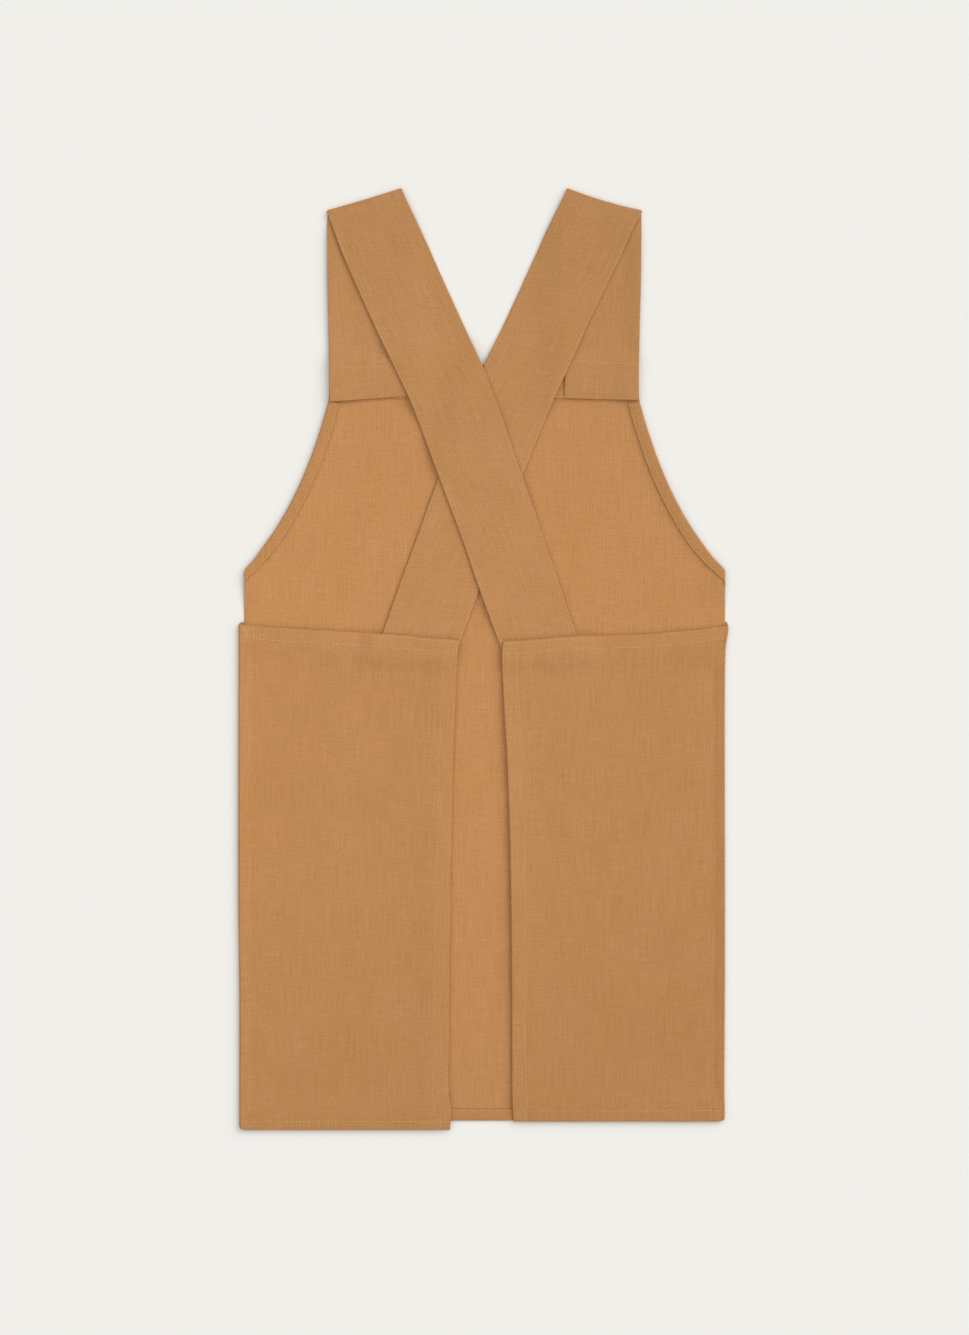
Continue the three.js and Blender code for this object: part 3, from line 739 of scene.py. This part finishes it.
def armhole_facing(size, side):
    """The band along an armhole: from each point of the edge it runs square inwards, and turns to
    straight down over the last third of its length, where the side begins. It lies 0.3 mm in from
    the edge of the front panel."""
    inset = 0.3
    curve_x, curve_y = armhole_curve(size)
    travel = travelled(np.stack([curve_x, curve_y], -1))
    tangent = np.stack([np.gradient(curve_x), np.gradient(curve_y)])
    tangent /= np.linalg.norm(tangent, axis=0)
    turn = smooth((travel / travel[-1] - 0.67) / 0.33)
    inward = np.stack([tangent[1], -tangent[0]]) * (1 - turn) + np.array([[0], [-1]]) * turn
    inward /= np.linalg.norm(inward, axis=0)

    def place(u, v):
        x, y, in_x, in_y = (np.interp(v, travel, line) for line in (curve_x, curve_y, *inward))
        reach = x + in_x * u - side_slip(size, y, side) - inset
        return SIDES[side].sign * reach, y + in_y * u

    thickness = size.cloth_thickness
    edge = round_edge(thickness)
    row = size.facing - ROW_INSET
    across = grid_lines(size.facing, turned_edge(size), edge, 1.6, [row])
    down = grid_lines(travel[-1], edge, edge, 2.0)
    distance = across[0][None, :] - row
    relief = row_relief(distance, down[0][:, None], 0.2, 0.08, 9.0)
    piece, top = laid_cloth(f"{side}_armhole_facing_cloth", place, across, down, thickness, 1,
                            material("outer"), relief=relief)
    return piece, top, place, (row, travel[-1])


def stitch_rows(name, rows, size):
    """One mesh of all stitches along rows, each given by its points and its share of the thread's
    full thickness. Each stitch is a short rounded bar with six sides and five rings, whose ends dip
    into the cloth, turned along its row."""
    centres, directions, fullness = [], [], []
    for points, share in rows:
        travel = travelled(points)
        places = np.arange(size.stitch / 2, travel[-1], size.stitch)
        middle, ahead, behind = (
            np.stack([np.interp(places + step, travel, line) for line in points.T], -1)
            for step in (0, 0.5, -0.5))
        centres.append(middle)
        fullness.append(np.full(len(middle), share))
        directions.append((ahead - behind) / np.linalg.norm(ahead - behind, axis=1, keepdims=True))
    centres, directions = np.concatenate(centres), np.concatenate(directions)
    side = np.cross(directions, [0, 0, 1])
    side /= np.linalg.norm(side, axis=1, keepdims=True)
    up = np.cross(side, directions)
    ring = np.array([-1.0, -0.8, 0.0, 0.8, 1.0])
    round_end = np.array([0.25, 0.75, 1.0, 0.75, 0.25])
    angle = np.arange(6) * np.pi / 3
    radius = size.thread / 2
    reach = 0.3 * size.stitch * ring[:, None] + 0 * angle
    wide = radius * round_end[:, None] * np.cos(angle)
    high = radius * round_end[:, None] * np.sin(angle) + (radius * (1 - 1.3 * ring ** 2))[:, None]
    local = np.stack([reach, wide, high], -1).reshape(-1, 3)
    fullness = np.concatenate(fullness)[:, None]
    axes = np.stack([directions, side * fullness, up * fullness], 1)
    vertices = centres[:, None, :] + np.einsum("pk,nkx->npx", local, axes)
    grid = np.arange(30).reshape(5, 6)
    wrapped = np.concatenate([grid, grid[:, :1]], axis=1)
    caps = [[0, 1, 2, 3], [0, 3, 4, 5], [24, 27, 26, 25], [24, 29, 28, 27]]
    one = turned_out(local, np.concatenate([quads(wrapped), caps]))
    faces = (np.arange(len(centres))[:, None, None] * 30 + one).reshape(-1, 4)
    flat = vertices.reshape(-1, 3)
    piece = new_mesh(name, flat, faces, flat[:, :2] * MM, material("thread"))
    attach(piece, "root")
    return piece


def seam_points(place, u, v, sink=0.0):
    """Points along a seam on the cloth's upper face."""
    x, y = place(u, v)
    return np.stack([x, y, PILE.now.top(x, y) - sink], -1)


def front_hem(size, node, place, wide, high, step, pucker, face):
    """A hem turned in along a straight edge of the front, with its object, the grid of its upper face
    and how far from the edge its row of stitches is."""
    edge, row = round_edge(size.cloth_thickness), high - ROW_INSET
    across = grid_lines(wide, edge, edge, 3.0)
    down = grid_lines(high, turned_edge(size), edge, step, [row])
    relief = row_relief(down[0][:, None] - row, across[0][None, :], 0.2, *pucker)
    piece, top = laid_cloth(f"{node}_cloth", place, across, down, size.cloth_thickness, 1,
                            material(face), relief=relief)
    return piece, top, row


class APRON_OT_front_edges(bpy.types.Operator):
    """Turn in the bib's top, the armholes and the front's bottom edge"""
    bl_idname = "apron.front_edges"
    bl_label = "Front hems and facings"

    def execute(self, context):
        size = sizes()

        def bib_place(u, v):
            """The hem is half a hundredth narrower than the bib that it lies on."""
            return 0.995 * (u - size.bib_half), FRONT_LENGTH - v

        def bottom_place(u, v):
            """The hem ends 4 mm short of the panel's sides and follows its bottom edge."""
            left = -size.skirt_half + 4
            x = left + (size.skirt_half - SIDES["right"].roll - 4 - left) * u / size.skirt_width
            return x, bottom_edge(size, x) + v

        # Name of the hem: its place, width and height, the step between its rows, the height and
        # length of its puckers, and its face.
        hems = {
            "bib_top_hem": (bib_place, size.bib_width, size.bib_hem, 3.0, (0.08, 11.0), "inner"),
            "front_bottom_hem": (bottom_place, size.skirt_width, size.front_hem, 1.6, (0.12, 12.0),
                                 "outer"),
        }
        laid = {node: front_hem(size, node, *hem) for node, hem in hems.items()}
        facings = {side: armhole_facing(size, side) for side in SIDES}
        for made in (*laid.values(), *facings.values()):
            PILE.now.add(made[1])

        for node, name, ends in (("bib_top_hem", "bib_hem_stitches", 3),
                                 ("front_bottom_hem", "front_hem_stitches", 4)):
            place, wide, high = hems[node][:3]
            piece, top, row = laid[node]
            level = np.arange(ends, wide - ends, 1.0)
            points = seam_points(place, level, 0 * level + row)
            stitches = stitch_rows(name, [(points, 0.7)], size)
            settle(piece, node, (wide, high), flat_area(top))
        for side, (piece, top, place, (row, end)) in facings.items():
            level = np.arange(2, end - 1, 1.0)
            points = seam_points(place, 0 * level + row, level, sink=0.1)
            stitches = stitch_rows(f"{side}_facing_stitches", [(points, 0.3)], size)
            settle(piece, f"{side}_armhole_facing", (size.facing, end), flat_area(top))
        return {"FINISHED"}


# Straps


def strap_edges(size, side):
    """The corners of the shoulder fold and of the strap's front end, and the two edges of its run
    down the back as tables over the share of the drop."""
    one = SIDES[side]
    half = size.strap_width / 2
    end_x = size.bib_half - half
    shoulder_x = end_x + one.lean
    inner = np.array([one.sign * (shoulder_x - half), FRONT_LENGTH + size.shoulder_rise])
    outer = np.array([one.sign * (shoulder_x + half), inner[1] - size.shoulder_slant])
    away = np.array([one.sign * size.shoulder_slant, size.strap_width])
    away /= np.linalg.norm(away)
    end_y = FRONT_LENGTH - one.end
    end_inset = 1.1
    outer_end = np.array([one.sign * (end_x + half - end_inset), end_y])
    inner_end = np.array([one.sign * (end_x - half - one.flare), end_y + one.slant])
    shoulder_y = FRONT_LENGTH + size.shoulder_rise - size.shoulder_slant / 2
    tucked = 11             # how far the rear end reaches below the lowest point of the waist edge
    drop = shoulder_y - (size.waist_top - size.waist_drop - tucked)
    run_x = -one.sign * STRAP_RUN[side] * shoulder_x
    run_y = shoulder_y - STRAP_RUN.down * drop
    level = STRAP_RUN[f"{side}_wide"] * half * one.sign
    return SimpleNamespace(inner=inner, outer=outer, away=away, outer_end=outer_end, sign=one.sign,
                           inner_end=inner_end, drop=drop, run=(run_x, run_y, level))


def make_strap(side):
    """A strap in three stretches of rows, each row straight from the outer to the inner edge: up
    from the bib to the shoulder, round the fold in a half circle, and down the back."""
    size = sizes()
    shape = strap_edges(size, side)
    thickness = size.strap_thickness
    fold_radius = (thickness + size.lay_gap) / 2
    edge = round_edge(thickness)
    across = grid_lines(size.strap_width, edge, edge, 2.0)
    share = across[0] / size.strap_width
    back_off = fold_radius + thickness / 2
    from_corner = size.corner_radius - size.strap_width * np.minimum(share, 1 - share)
    inward = np.clip(from_corner / size.corner_radius, 0, 1)
    hollow = back_off + SIDES[side].hollow * 4 * share * (1 - share)
    hollow += size.corner_radius * (1 - np.sqrt(1 - inward ** 2))

    def between(outer, inner):
        return outer + (inner - outer) * share[:, None]

    # The leg runs from the start, its end on the bib, to the base of the fold. It stands out a little
    # between them, its outer edge curls up, and it comes down to the floor at the fold.
    base = between(shape.outer, shape.inner) - shape.away * hollow[:, None]
    start = between(shape.outer_end, shape.inner_end)
    leg_length = np.linalg.norm(base.mean(0) - start.mean(0))
    first_row, last_row = SIDES[side].rows
    seam_row = first_row + (last_row - first_row) * share
    seam_row *= leg_length / np.linalg.norm(base - start, axis=1)
    down = grid_lines(leg_length, edge, edge, 2.0, [seam_row.mean()])[:, :-4]
    up = (down[0] / leg_length)[:, None, None]
    plan = start + (base - start) * up
    plan[..., 0] += shape.sign * LEG_BULGE * np.sin(np.pi * up[..., 0] ** 1.8) ** 2
    x, y = plan[..., 0], plan[..., 1]
    curl = size.edge_curl * smooth(1 - across[0] / 20)
    rest = np.maximum(PILE.now.rest(x, y, 9), curl) * smooth((leg_length - down[0]) / 30)[:, None]
    relief = row_relief(down[0][:, None] - seam_row, across[0], 0.22, 0.08, 8.0)
    calm = smooth((leg_length - down[0]) / 40) * smooth(down[0] / 20)
    waves = drift(x, y, 0.5, 55, 5 + shape.sign) * calm[:, None]
    pressed = (LEG_PRESSED + (1 - LEG_PRESSED) * smooth(down[0] / 8))[:, None]
    leg = np.concatenate([plan, (rest + thickness / 2 * pressed + relief + waves)[..., None]], -1)
    leg_half = pressed * half_wall(across[2], down[2], thickness)
    leg_uv = np.stack(np.meshgrid(across[0], down[0]), -1)
    PILE.now.add(leg + np.array([0, 0, thickness / 2]))

    # The fold goes round in a half circle, over the edge of the base.
    angle = np.linspace(0, np.pi, 14)[1:-1, None, None]
    out = shape.away * fold_radius * np.sin(angle)
    plan = base[None] + out
    height = thickness / 2 + fold_radius * (1 - np.cos(angle)) + 0 * share[None, :, None]
    fold = np.concatenate([plan, height], -1)
    fold_uv = np.stack([across[0] + 0 * height[..., 0], leg_length + fold_radius * angle[..., 0]
                        + 0 * share], -1)

    # The back run starts level with the top of the fold and comes to rest on what lies under it.
    # Near the shoulder its outer edge lies closer to the leg than its middle does.
    knots = np.concatenate([[0], STRAP_RUN.down])
    run_x, run_y, level = shape.run
    lines = grid_lines(shape.drop, edge, edge, 2.0)[:, 4:]
    downs = lines[0] / shape.drop
    downs[0] = 0
    table = np.rec.fromarrays([
        knots,
        np.append(base[0, 0], run_x + level), np.append(base[0, 1], run_y),
        np.append(base[-1, 0], run_x - level), np.append(base[-1, 1], run_y),
    ], names="down, outer_x, outer_y, inner_x, inner_y")
    outer = np.stack([along(table, "down", downs, name) for name in ("outer_x", "outer_y")], -1)
    inner = np.stack([along(table, "down", downs, name) for name in ("inner_x", "inner_y")], -1)
    plan = outer[:, None] + (inner - outer)[:, None] * share[None, :, None]
    bow = base - between(base[0], base[-1])
    plan = plan + bow[None] * smooth(1 - lines[0] / 35)[:, None, None]
    x, y = plan[..., 0], plan[..., 1]
    eased = smooth(1 - lines[0] / 45)[:, None]
    close = smooth(1 - across[0] / 32)[None, :] * smooth((170 - lines[0]) / 80)[:, None]
    rest = PILE.now.rest(x, y, 16) * (1 - close) + PILE.now.rest(x, y, 3) * close
    rest = np.maximum(rest, 2 * fold_radius * eased)
    at_fold = smooth(1 - lines[0] / 12)[:, None]
    rest = rest * (1 - at_fold) + 2 * fold_radius * at_fold
    waves = drift(x, y, 0.8, 80, 9 + shape.sign) * smooth(lines[0] / 50)[:, None]
    back = np.concatenate([plan, (rest + thickness / 2 + waves)[..., None]], -1)
    back_half = half_wall(across[2], lines[2], thickness)
    fold_half = half_wall(across[2], np.full(len(fold), FAR), thickness)
    travel = leg_length + np.pi * fold_radius + lines[0]
    back_uv = np.stack(np.meshgrid(across[0], travel), -1)

    middle = np.concatenate([leg, fold, back])
    half = np.concatenate([leg_half, fold_half, back_half])
    uv = np.concatenate([leg_uv, fold_uv, back_uv]) + 200.0 * (shape.sign + 2)
    piece, _ = cloth_wall(f"{side}_strap_cloth", middle, half, uv, material("strap"))
    # Painted highlight along the outer fold edge of the strap's run down the back.
    outer_fold_highlight = np.zeros(half.shape)
    outer_fold_highlight[-len(back):] = (across[2] <= thickness / 2) * (share < 0.5)
    mark_painted_brightening(piece, outer_fold_highlight)
    PILE.now.add(back + np.array([0, 0, thickness / 2]))

    # The row of stitches across the leg stops short of both its edges.
    nearest = np.abs(down[0][:, None] - seam_row).argmin(0)
    row = start + (base - start) * (seam_row / leg_length)[:, None]
    row = np.concatenate([row, leg[nearest, np.arange(len(share)), 2:] + thickness / 2], -1)[4:-4]
    stitches = stitch_rows(f"{side}_strap_stitches", [(row, 0.5)], size)
    full = travel[-1]
    settle(piece, f"{side}_strap", (size.strap_width, full), size.strap_width * full)


class APRON_OT_straps(bpy.types.Operator):
    """Lay both straps: the right one first, and the left one over it"""
    bl_idname = "apron.straps"
    bl_label = "Straps"

    def execute(self, context):
        make_strap("right")
        make_strap("left")
        return {"FINISHED"}


# Back panels


def back_sizes(size, side):
    """The length and width of a back panel and the place of its seam and fold."""
    one = SIDES[side]
    seam = size.skirt_half - one.roll - one.slip
    fold_x = seam + size.lay_gap + one.lip
    return SimpleNamespace(length=size.waist_top + one.hang, width=fold_x - size.back_opening / 2,
                           seam=seam, fold_x=fold_x)


def back_place(size, side):
    """Places on a back panel from distances across from its centre edge and down from its waist."""
    one, back = SIDES[side], back_sizes(size, side)

    def place(u, v):
        across, down = u / back.width, v / back.length
        half_opening = one.sign * size.back_opening / 2 * along(CENTRE_EDGES, "down", down, side)
        centre_x = size.opening_shift + half_opening
        fold_x = one.sign * (back.fold_x + size.side_bulge * along(SIDE_FOLDS, "down", down, side))
        # The waist edge is uneven by a third of a millimetre, less and less over 30 mm.
        bumps = 0.35 * np.sin(u / 4.7) * np.sin(u / 11.3 + 1) * smooth(1 - v / 30)
        waist_y = size.waist_top - size.waist_drop * along(WAIST_EDGES, "across", across, side)
        x = centre_x + (fold_x - centre_x) * across
        return x, waist_y + (-one.hang - waist_y) * down + bumps
    return place


class APRON_OT_back_hems(bpy.types.Operator):
    """Turn under the waist, centre and bottom edges of the back panels"""
    bl_idname = "apron.back_hems"
    bl_label = "Back hems"

    def execute(self, context):
        size = sizes()
        edge = round_edge(size.cloth_thickness)
        made = []
        for side in SIDES:
            back, one = back_sizes(size, side), SIDES[side]
            place = back_place(size, side)
            inner_length = back.length - size.waist_hem - one.hem - 2 * size.lay_gap
            level = back.width - one.lip - size.lay_gap - size.cloth_thickness
            # Name of the strip: its width, where its top is down the panel, and its height.
            strips = {
                "waist_hem": (level, 0.0, size.waist_hem),
                "centre_hem": (size.centre_hem, size.waist_hem + size.lay_gap, inner_length),
                "back_bottom_hem": (level - 3, back.length - one.hem, one.hem),
            }
            for name, (wide, top, high) in strips.items():
                across = grid_lines(wide, edge, edge, 3.0)
                down = grid_lines(high, edge, edge, 3.0)
                piece, upper = laid_cloth(
                    f"{side}_{name}_cloth", lambda u, v, top=top: place(u, v + top),
                    across, down, size.cloth_thickness, 3, material("inner"))
                made.append((piece, upper, f"{side}_{name}", (wide, high)))
        for piece, upper, node, flat in made:
            PILE.now.add(upper)
            settle(piece, node, flat, flat_area(upper))
        return {"FINISHED"}


def rounded_corners(middle, v, full_length):
    """Rounds the corners near the side: the bottom edge rises by the height of a quarter circle, less
    and less over the last 14 mm of the panel's length, and the waist edge sinks the same way."""
    middle = middle.copy()
    reach = np.abs(middle[..., 0])
    reach = reach.max(axis=1, keepdims=True) - reach
    for radius, from_edge, way in ((3.6, full_length - v, 1), (1.8, v, -1)):
        inward = np.clip(reach / radius, 0, 1)
        arc = radius * (1 - np.sqrt(1 - (1 - inward) ** 2))
        middle[..., 1] += way * arc * np.clip(1 - from_edge / 14, 0, 1)
    return middle


def make_back_panel(side):
    """A back panel as one wall: its top sheet is turned down along waist, centre and bottom, and at
    the side it goes round the fold in a half circle and back under it to the front's edge."""
    size, one = sizes(), SIDES[side]
    back = back_sizes(size, side)
    place = back_place(size, side)
    thickness = size.cloth_thickness
    turned = turned_edge(size)
    centre_row = size.centre_hem * 0.97
    block_row = 2.4         # how far below the waist edge the strap's own row of stitches is
    across = grid_lines(back.width, turned, round_edge(0.01), 2.4, [centre_row])[:, :-4]
    waist_row, bottom_row = size.waist_hem - size.hem_row, back.length - one.hem + size.hem_row
    down = grid_lines(back.length, turned, turned, 2.4, [2.2, waist_row, bottom_row])
    u, v = np.meshgrid(across[0], down[0])
    x, y = place(u, v)
    shares = v / back.length

    # Heights: the side fold puffs up, the centre edge is lifted, and so is the waist edge.
    puff = one.fold * smooth(1 - (back.width - u) / 14)
    lift = one.edge * along(CENTRE_EDGES, "down", shares, f"{side}_lift") * smooth(1 - u / 45)
    below_hem = smooth((v - size.waist_hem) / 5)
    rest = PILE.now.rest(x, y, 8) * (1 - below_hem) + PILE.now.rest(x, y, 13) * below_hem
    rest = np.maximum(rest, np.maximum(puff, lift))
    rest = rest + WAIST_LIFT * smooth(1 - v / 14) * smooth((back.width - u) / 40)
    row_u = size.centre_hem * along(CENTRE_EDGES, "down", shares, f"{side}_row")
    relief = (row_relief(v - waist_row, u, 0.28, 0.14, 10.0)
              + row_relief(u - row_u, v, 0.14, 0.08, 12.0)
              + row_relief(v - bottom_row, u, 0.2, 0.12, 11.0))
    # A second row holds the strap's end, over a little more than the strap's width.
    block = (u > 2) * (u < size.strap_width * 1.04)
    relief = relief + block * row_relief(v - block_row, u, 0.2, 0.05, 6.0)
    waves = drift(x, y, 0.7, 60, 21 + one.sign) + drift(x, y, 0.25, 22, 31 + one.sign)
    calm = smooth((back.width - u) / 20) * smooth(v / 20) * smooth((back.length - v) / 20)
    drop = np.maximum(across[1][None, :], down[1][:, None])
    top = np.stack([x, y, rest + thickness / 2 + relief + waves * calm - drop], -1)

    # The side fold is a half circle under the panel's last column, and the lip runs flat to the seam.
    radius = (rest[:, -1] / 2)[:, None]
    angle = np.linspace(0, np.pi, 13)[None, 1:]
    rise = one.rise * (1 - shares[:, -1:])
    fold_drop = down[1][:, None]
    wrap_x = x[:, -1:] + one.sign * (radius - fold_drop) * np.sin(angle)
    wrap_y = y[:, -1:] + rise * angle / np.pi
    wrap_z = thickness / 2 + radius + (radius - fold_drop) * np.cos(angle)
    lip_share = np.linspace(0, 1, 8)[None, 1:]
    lip_x = wrap_x[:, -1:] + (one.sign * (back.seam + size.lay_gap) - wrap_x[:, -1:]) * lip_share
    lip_y = wrap_y[:, -1:] + 0 * lip_share
    lip_z = wrap_z[:, -1:] + 0 * lip_share
    middle = np.concatenate([top, np.stack([wrap_x, wrap_y, wrap_z], -1),
                             np.stack([lip_x, lip_y, lip_z], -1)], axis=1)
    middle = rounded_corners(middle, v[:, :1], back.length)
    far = np.full(angle.shape[1], FAR)
    lip_rim = np.abs(lip_x[len(lip_x) // 2] - one.sign * (back.seam + size.lay_gap))
    rim_u = np.concatenate([across[2], far, lip_rim])
    half = half_wall(rim_u, down[2], thickness)
    wrap_u = back.width + (angle * radius.mean())[0]
    lip_u = wrap_u[-1] + lip_share[0] * one.lip
    all_u = np.concatenate([across[0], wrap_u, lip_u])
    uv = np.stack(np.meshgrid(all_u, down[0]), -1) + 700.0 * (one.sign + 2)
    piece, _ = cloth_wall(f"{side}_back_panel_cloth", middle, half, uv, material("outer"))
    # Painted light: hems over more layers are brightened, the waist hem most where it crosses the
    # centre hem and the far edge of the strap, and the centre hem below it a little.
    squares = (u < row_u) + (np.abs(u - 0.92 * size.strap_width) < 9)
    hems = (0.5 + 0.4 * squares) * (v < waist_row) + 0.3 * (u < row_u) * (v >= waist_row)
    mark_painted_brightening(piece, np.concatenate([hems, np.zeros((len(hems), len(wrap_u) + len(lip_u)))], axis=1))
    PILE.now.add(top + np.array([0, 0, thickness / 2]))

    u_row = np.arange(5, back.width, 1.0)
    v_row = np.arange(waist_row, back.length - 14, 1.0)
    u_block = np.arange(2, size.strap_width * 1.04, 1.0)
    centre_u = size.centre_hem * along(CENTRE_EDGES, "down", v_row / back.length, f"{side}_row")
    rows = [
        (seam_points(place, np.arange(2, back.width, 1.0), waist_row), 0.82),
        (seam_points(place, u_block, block_row), 0.6),
        (seam_points(place, centre_u, v_row), 0.45),
        (seam_points(place, u_row, bottom_row), 0.55),
    ]
    stitches = stitch_rows(f"{side}_back_stitches", rows, size)
    full = all_u[-1]
    area = flat_area(top) + (full - back.width) * back.length
    settle(piece, f"{side}_back_panel", (full, back.length + WAIST_SPARE), area)


class APRON_OT_back_panels(bpy.types.Operator):
    """Fold both back panels over the front at the side seams"""
    bl_idname = "apron.back_panels"
    bl_label = "Back panels"

    def execute(self, context):
        for side in SIDES:
            make_back_panel(side)
        return {"FINISHED"}


# Stage


def far_light(name, direction, spread, power, tint):
    """A light too far away to fade across the floor, as wide as a large softbox: spread is its
    width in degrees, and direction points from the apron to it."""
    data = bpy.data.lights.new(name, "SUN")
    data.energy = power
    data.angle = np.radians(spread)
    data.color = tint
    light = bpy.data.objects.new(name, data)
    light.rotation_euler = Vector(direction).to_track_quat("Z", "Y").to_euler()
    bpy.context.scene.collection.objects.link(light)


class APRON_OT_stage(bpy.types.Operator):
    """Set the pale floor, the soft lights and the camera straight above"""
    bl_idname = "apron.stage"
    bl_label = "Stage"

    def execute(self, context):
        scene = context.scene
        mesh = bpy.data.meshes.new("floor")
        far = 25.0
        corners = [(-far, -far, 0), (far, -far, 0), (far, far, 0), (-far, far, 0)]
        mesh.from_pydata(corners, [], [(0, 1, 2, 3)])
        mesh.materials.append(material("floor"))
        floor = bpy.data.objects.new("floor", mesh)
        scene.collection.objects.link(floor)

        world = bpy.data.worlds.new("soft_room")
        world.use_nodes = True
        background = world.node_tree.nodes["Background"]
        background.inputs["Color"].default_value = (0.99, 0.995, 1.0, 1)
        background.inputs["Strength"].default_value = 0.1
        scene.world = world
        # Most light comes evenly from above. A weaker one from the upper right lays the shadows along
        # the left and bottom edges.
        far_light("key_light", (1.0, 0.72, 0.85), 48, 1.15, (0.99, 0.985, 0.965))
        far_light("overhead_light", (0.03, 0.0, 1.0), 138, 2.19, (0.988, 0.985, 0.977))

        # The view is 1335 mm long, and its middle lies 453 mm above the front's bottom edge.
        camera = bpy.data.objects.new("camera", bpy.data.cameras.new("camera"))
        height, view_length = 5.0, 1335
        middle = np.array([MIDDLE_X + 0.5, BIB_TOP_Y - FRONT_LENGTH + 453]) * MM
        camera.location = (*middle, height)
        camera.data.sensor_width = 36.0
        camera.data.lens = camera.data.sensor_width * height / (view_length * MM)
        camera.data.clip_end = 50.0
        scene.collection.objects.link(camera)
        scene.camera = camera
        scene.view_settings.view_transform = "Standard"
        return {"FINISHED"}


OPERATORS = (APRON_OT_front_panel, APRON_OT_front_edges, APRON_OT_straps, APRON_OT_back_hems,
             APRON_OT_back_panels, APRON_OT_stage)


class APRON_PT_panel(bpy.types.Panel):
    """The steps that make the apron, its sizes and its colours"""
    bl_idname = "APRON_PT_panel"
    bl_label = "Cross Back Apron"
    bl_space_type = "VIEW_3D"
    bl_region_type = "UI"
    bl_category = "Apron"

    def draw(self, context):
        for operator in OPERATORS:
            self.layout.operator(operator.bl_idname)
        for group in (context.scene.apron_sizes, context.scene.apron_colours):
            for name in group.__annotations__:
                self.layout.prop(group, name)


CLASSES = (ApronSizes, ApronColours, *OPERATORS, APRON_PT_panel)


def register():
    for one in CLASSES:
        bpy.utils.register_class(one)
    bpy.types.Scene.apron_sizes = PointerProperty(type=ApronSizes)
    bpy.types.Scene.apron_colours = PointerProperty(type=ApronColours)


def unregister():
    del bpy.types.Scene.apron_colours
    del bpy.types.Scene.apron_sizes
    for one in reversed(CLASSES):
        bpy.utils.unregister_class(one)


def main():
    register()
    for operator in OPERATORS:
        group, name = operator.bl_idname.split(".")
        getattr(getattr(bpy.ops, group), name)()


if __name__ == "__main__":
    main()
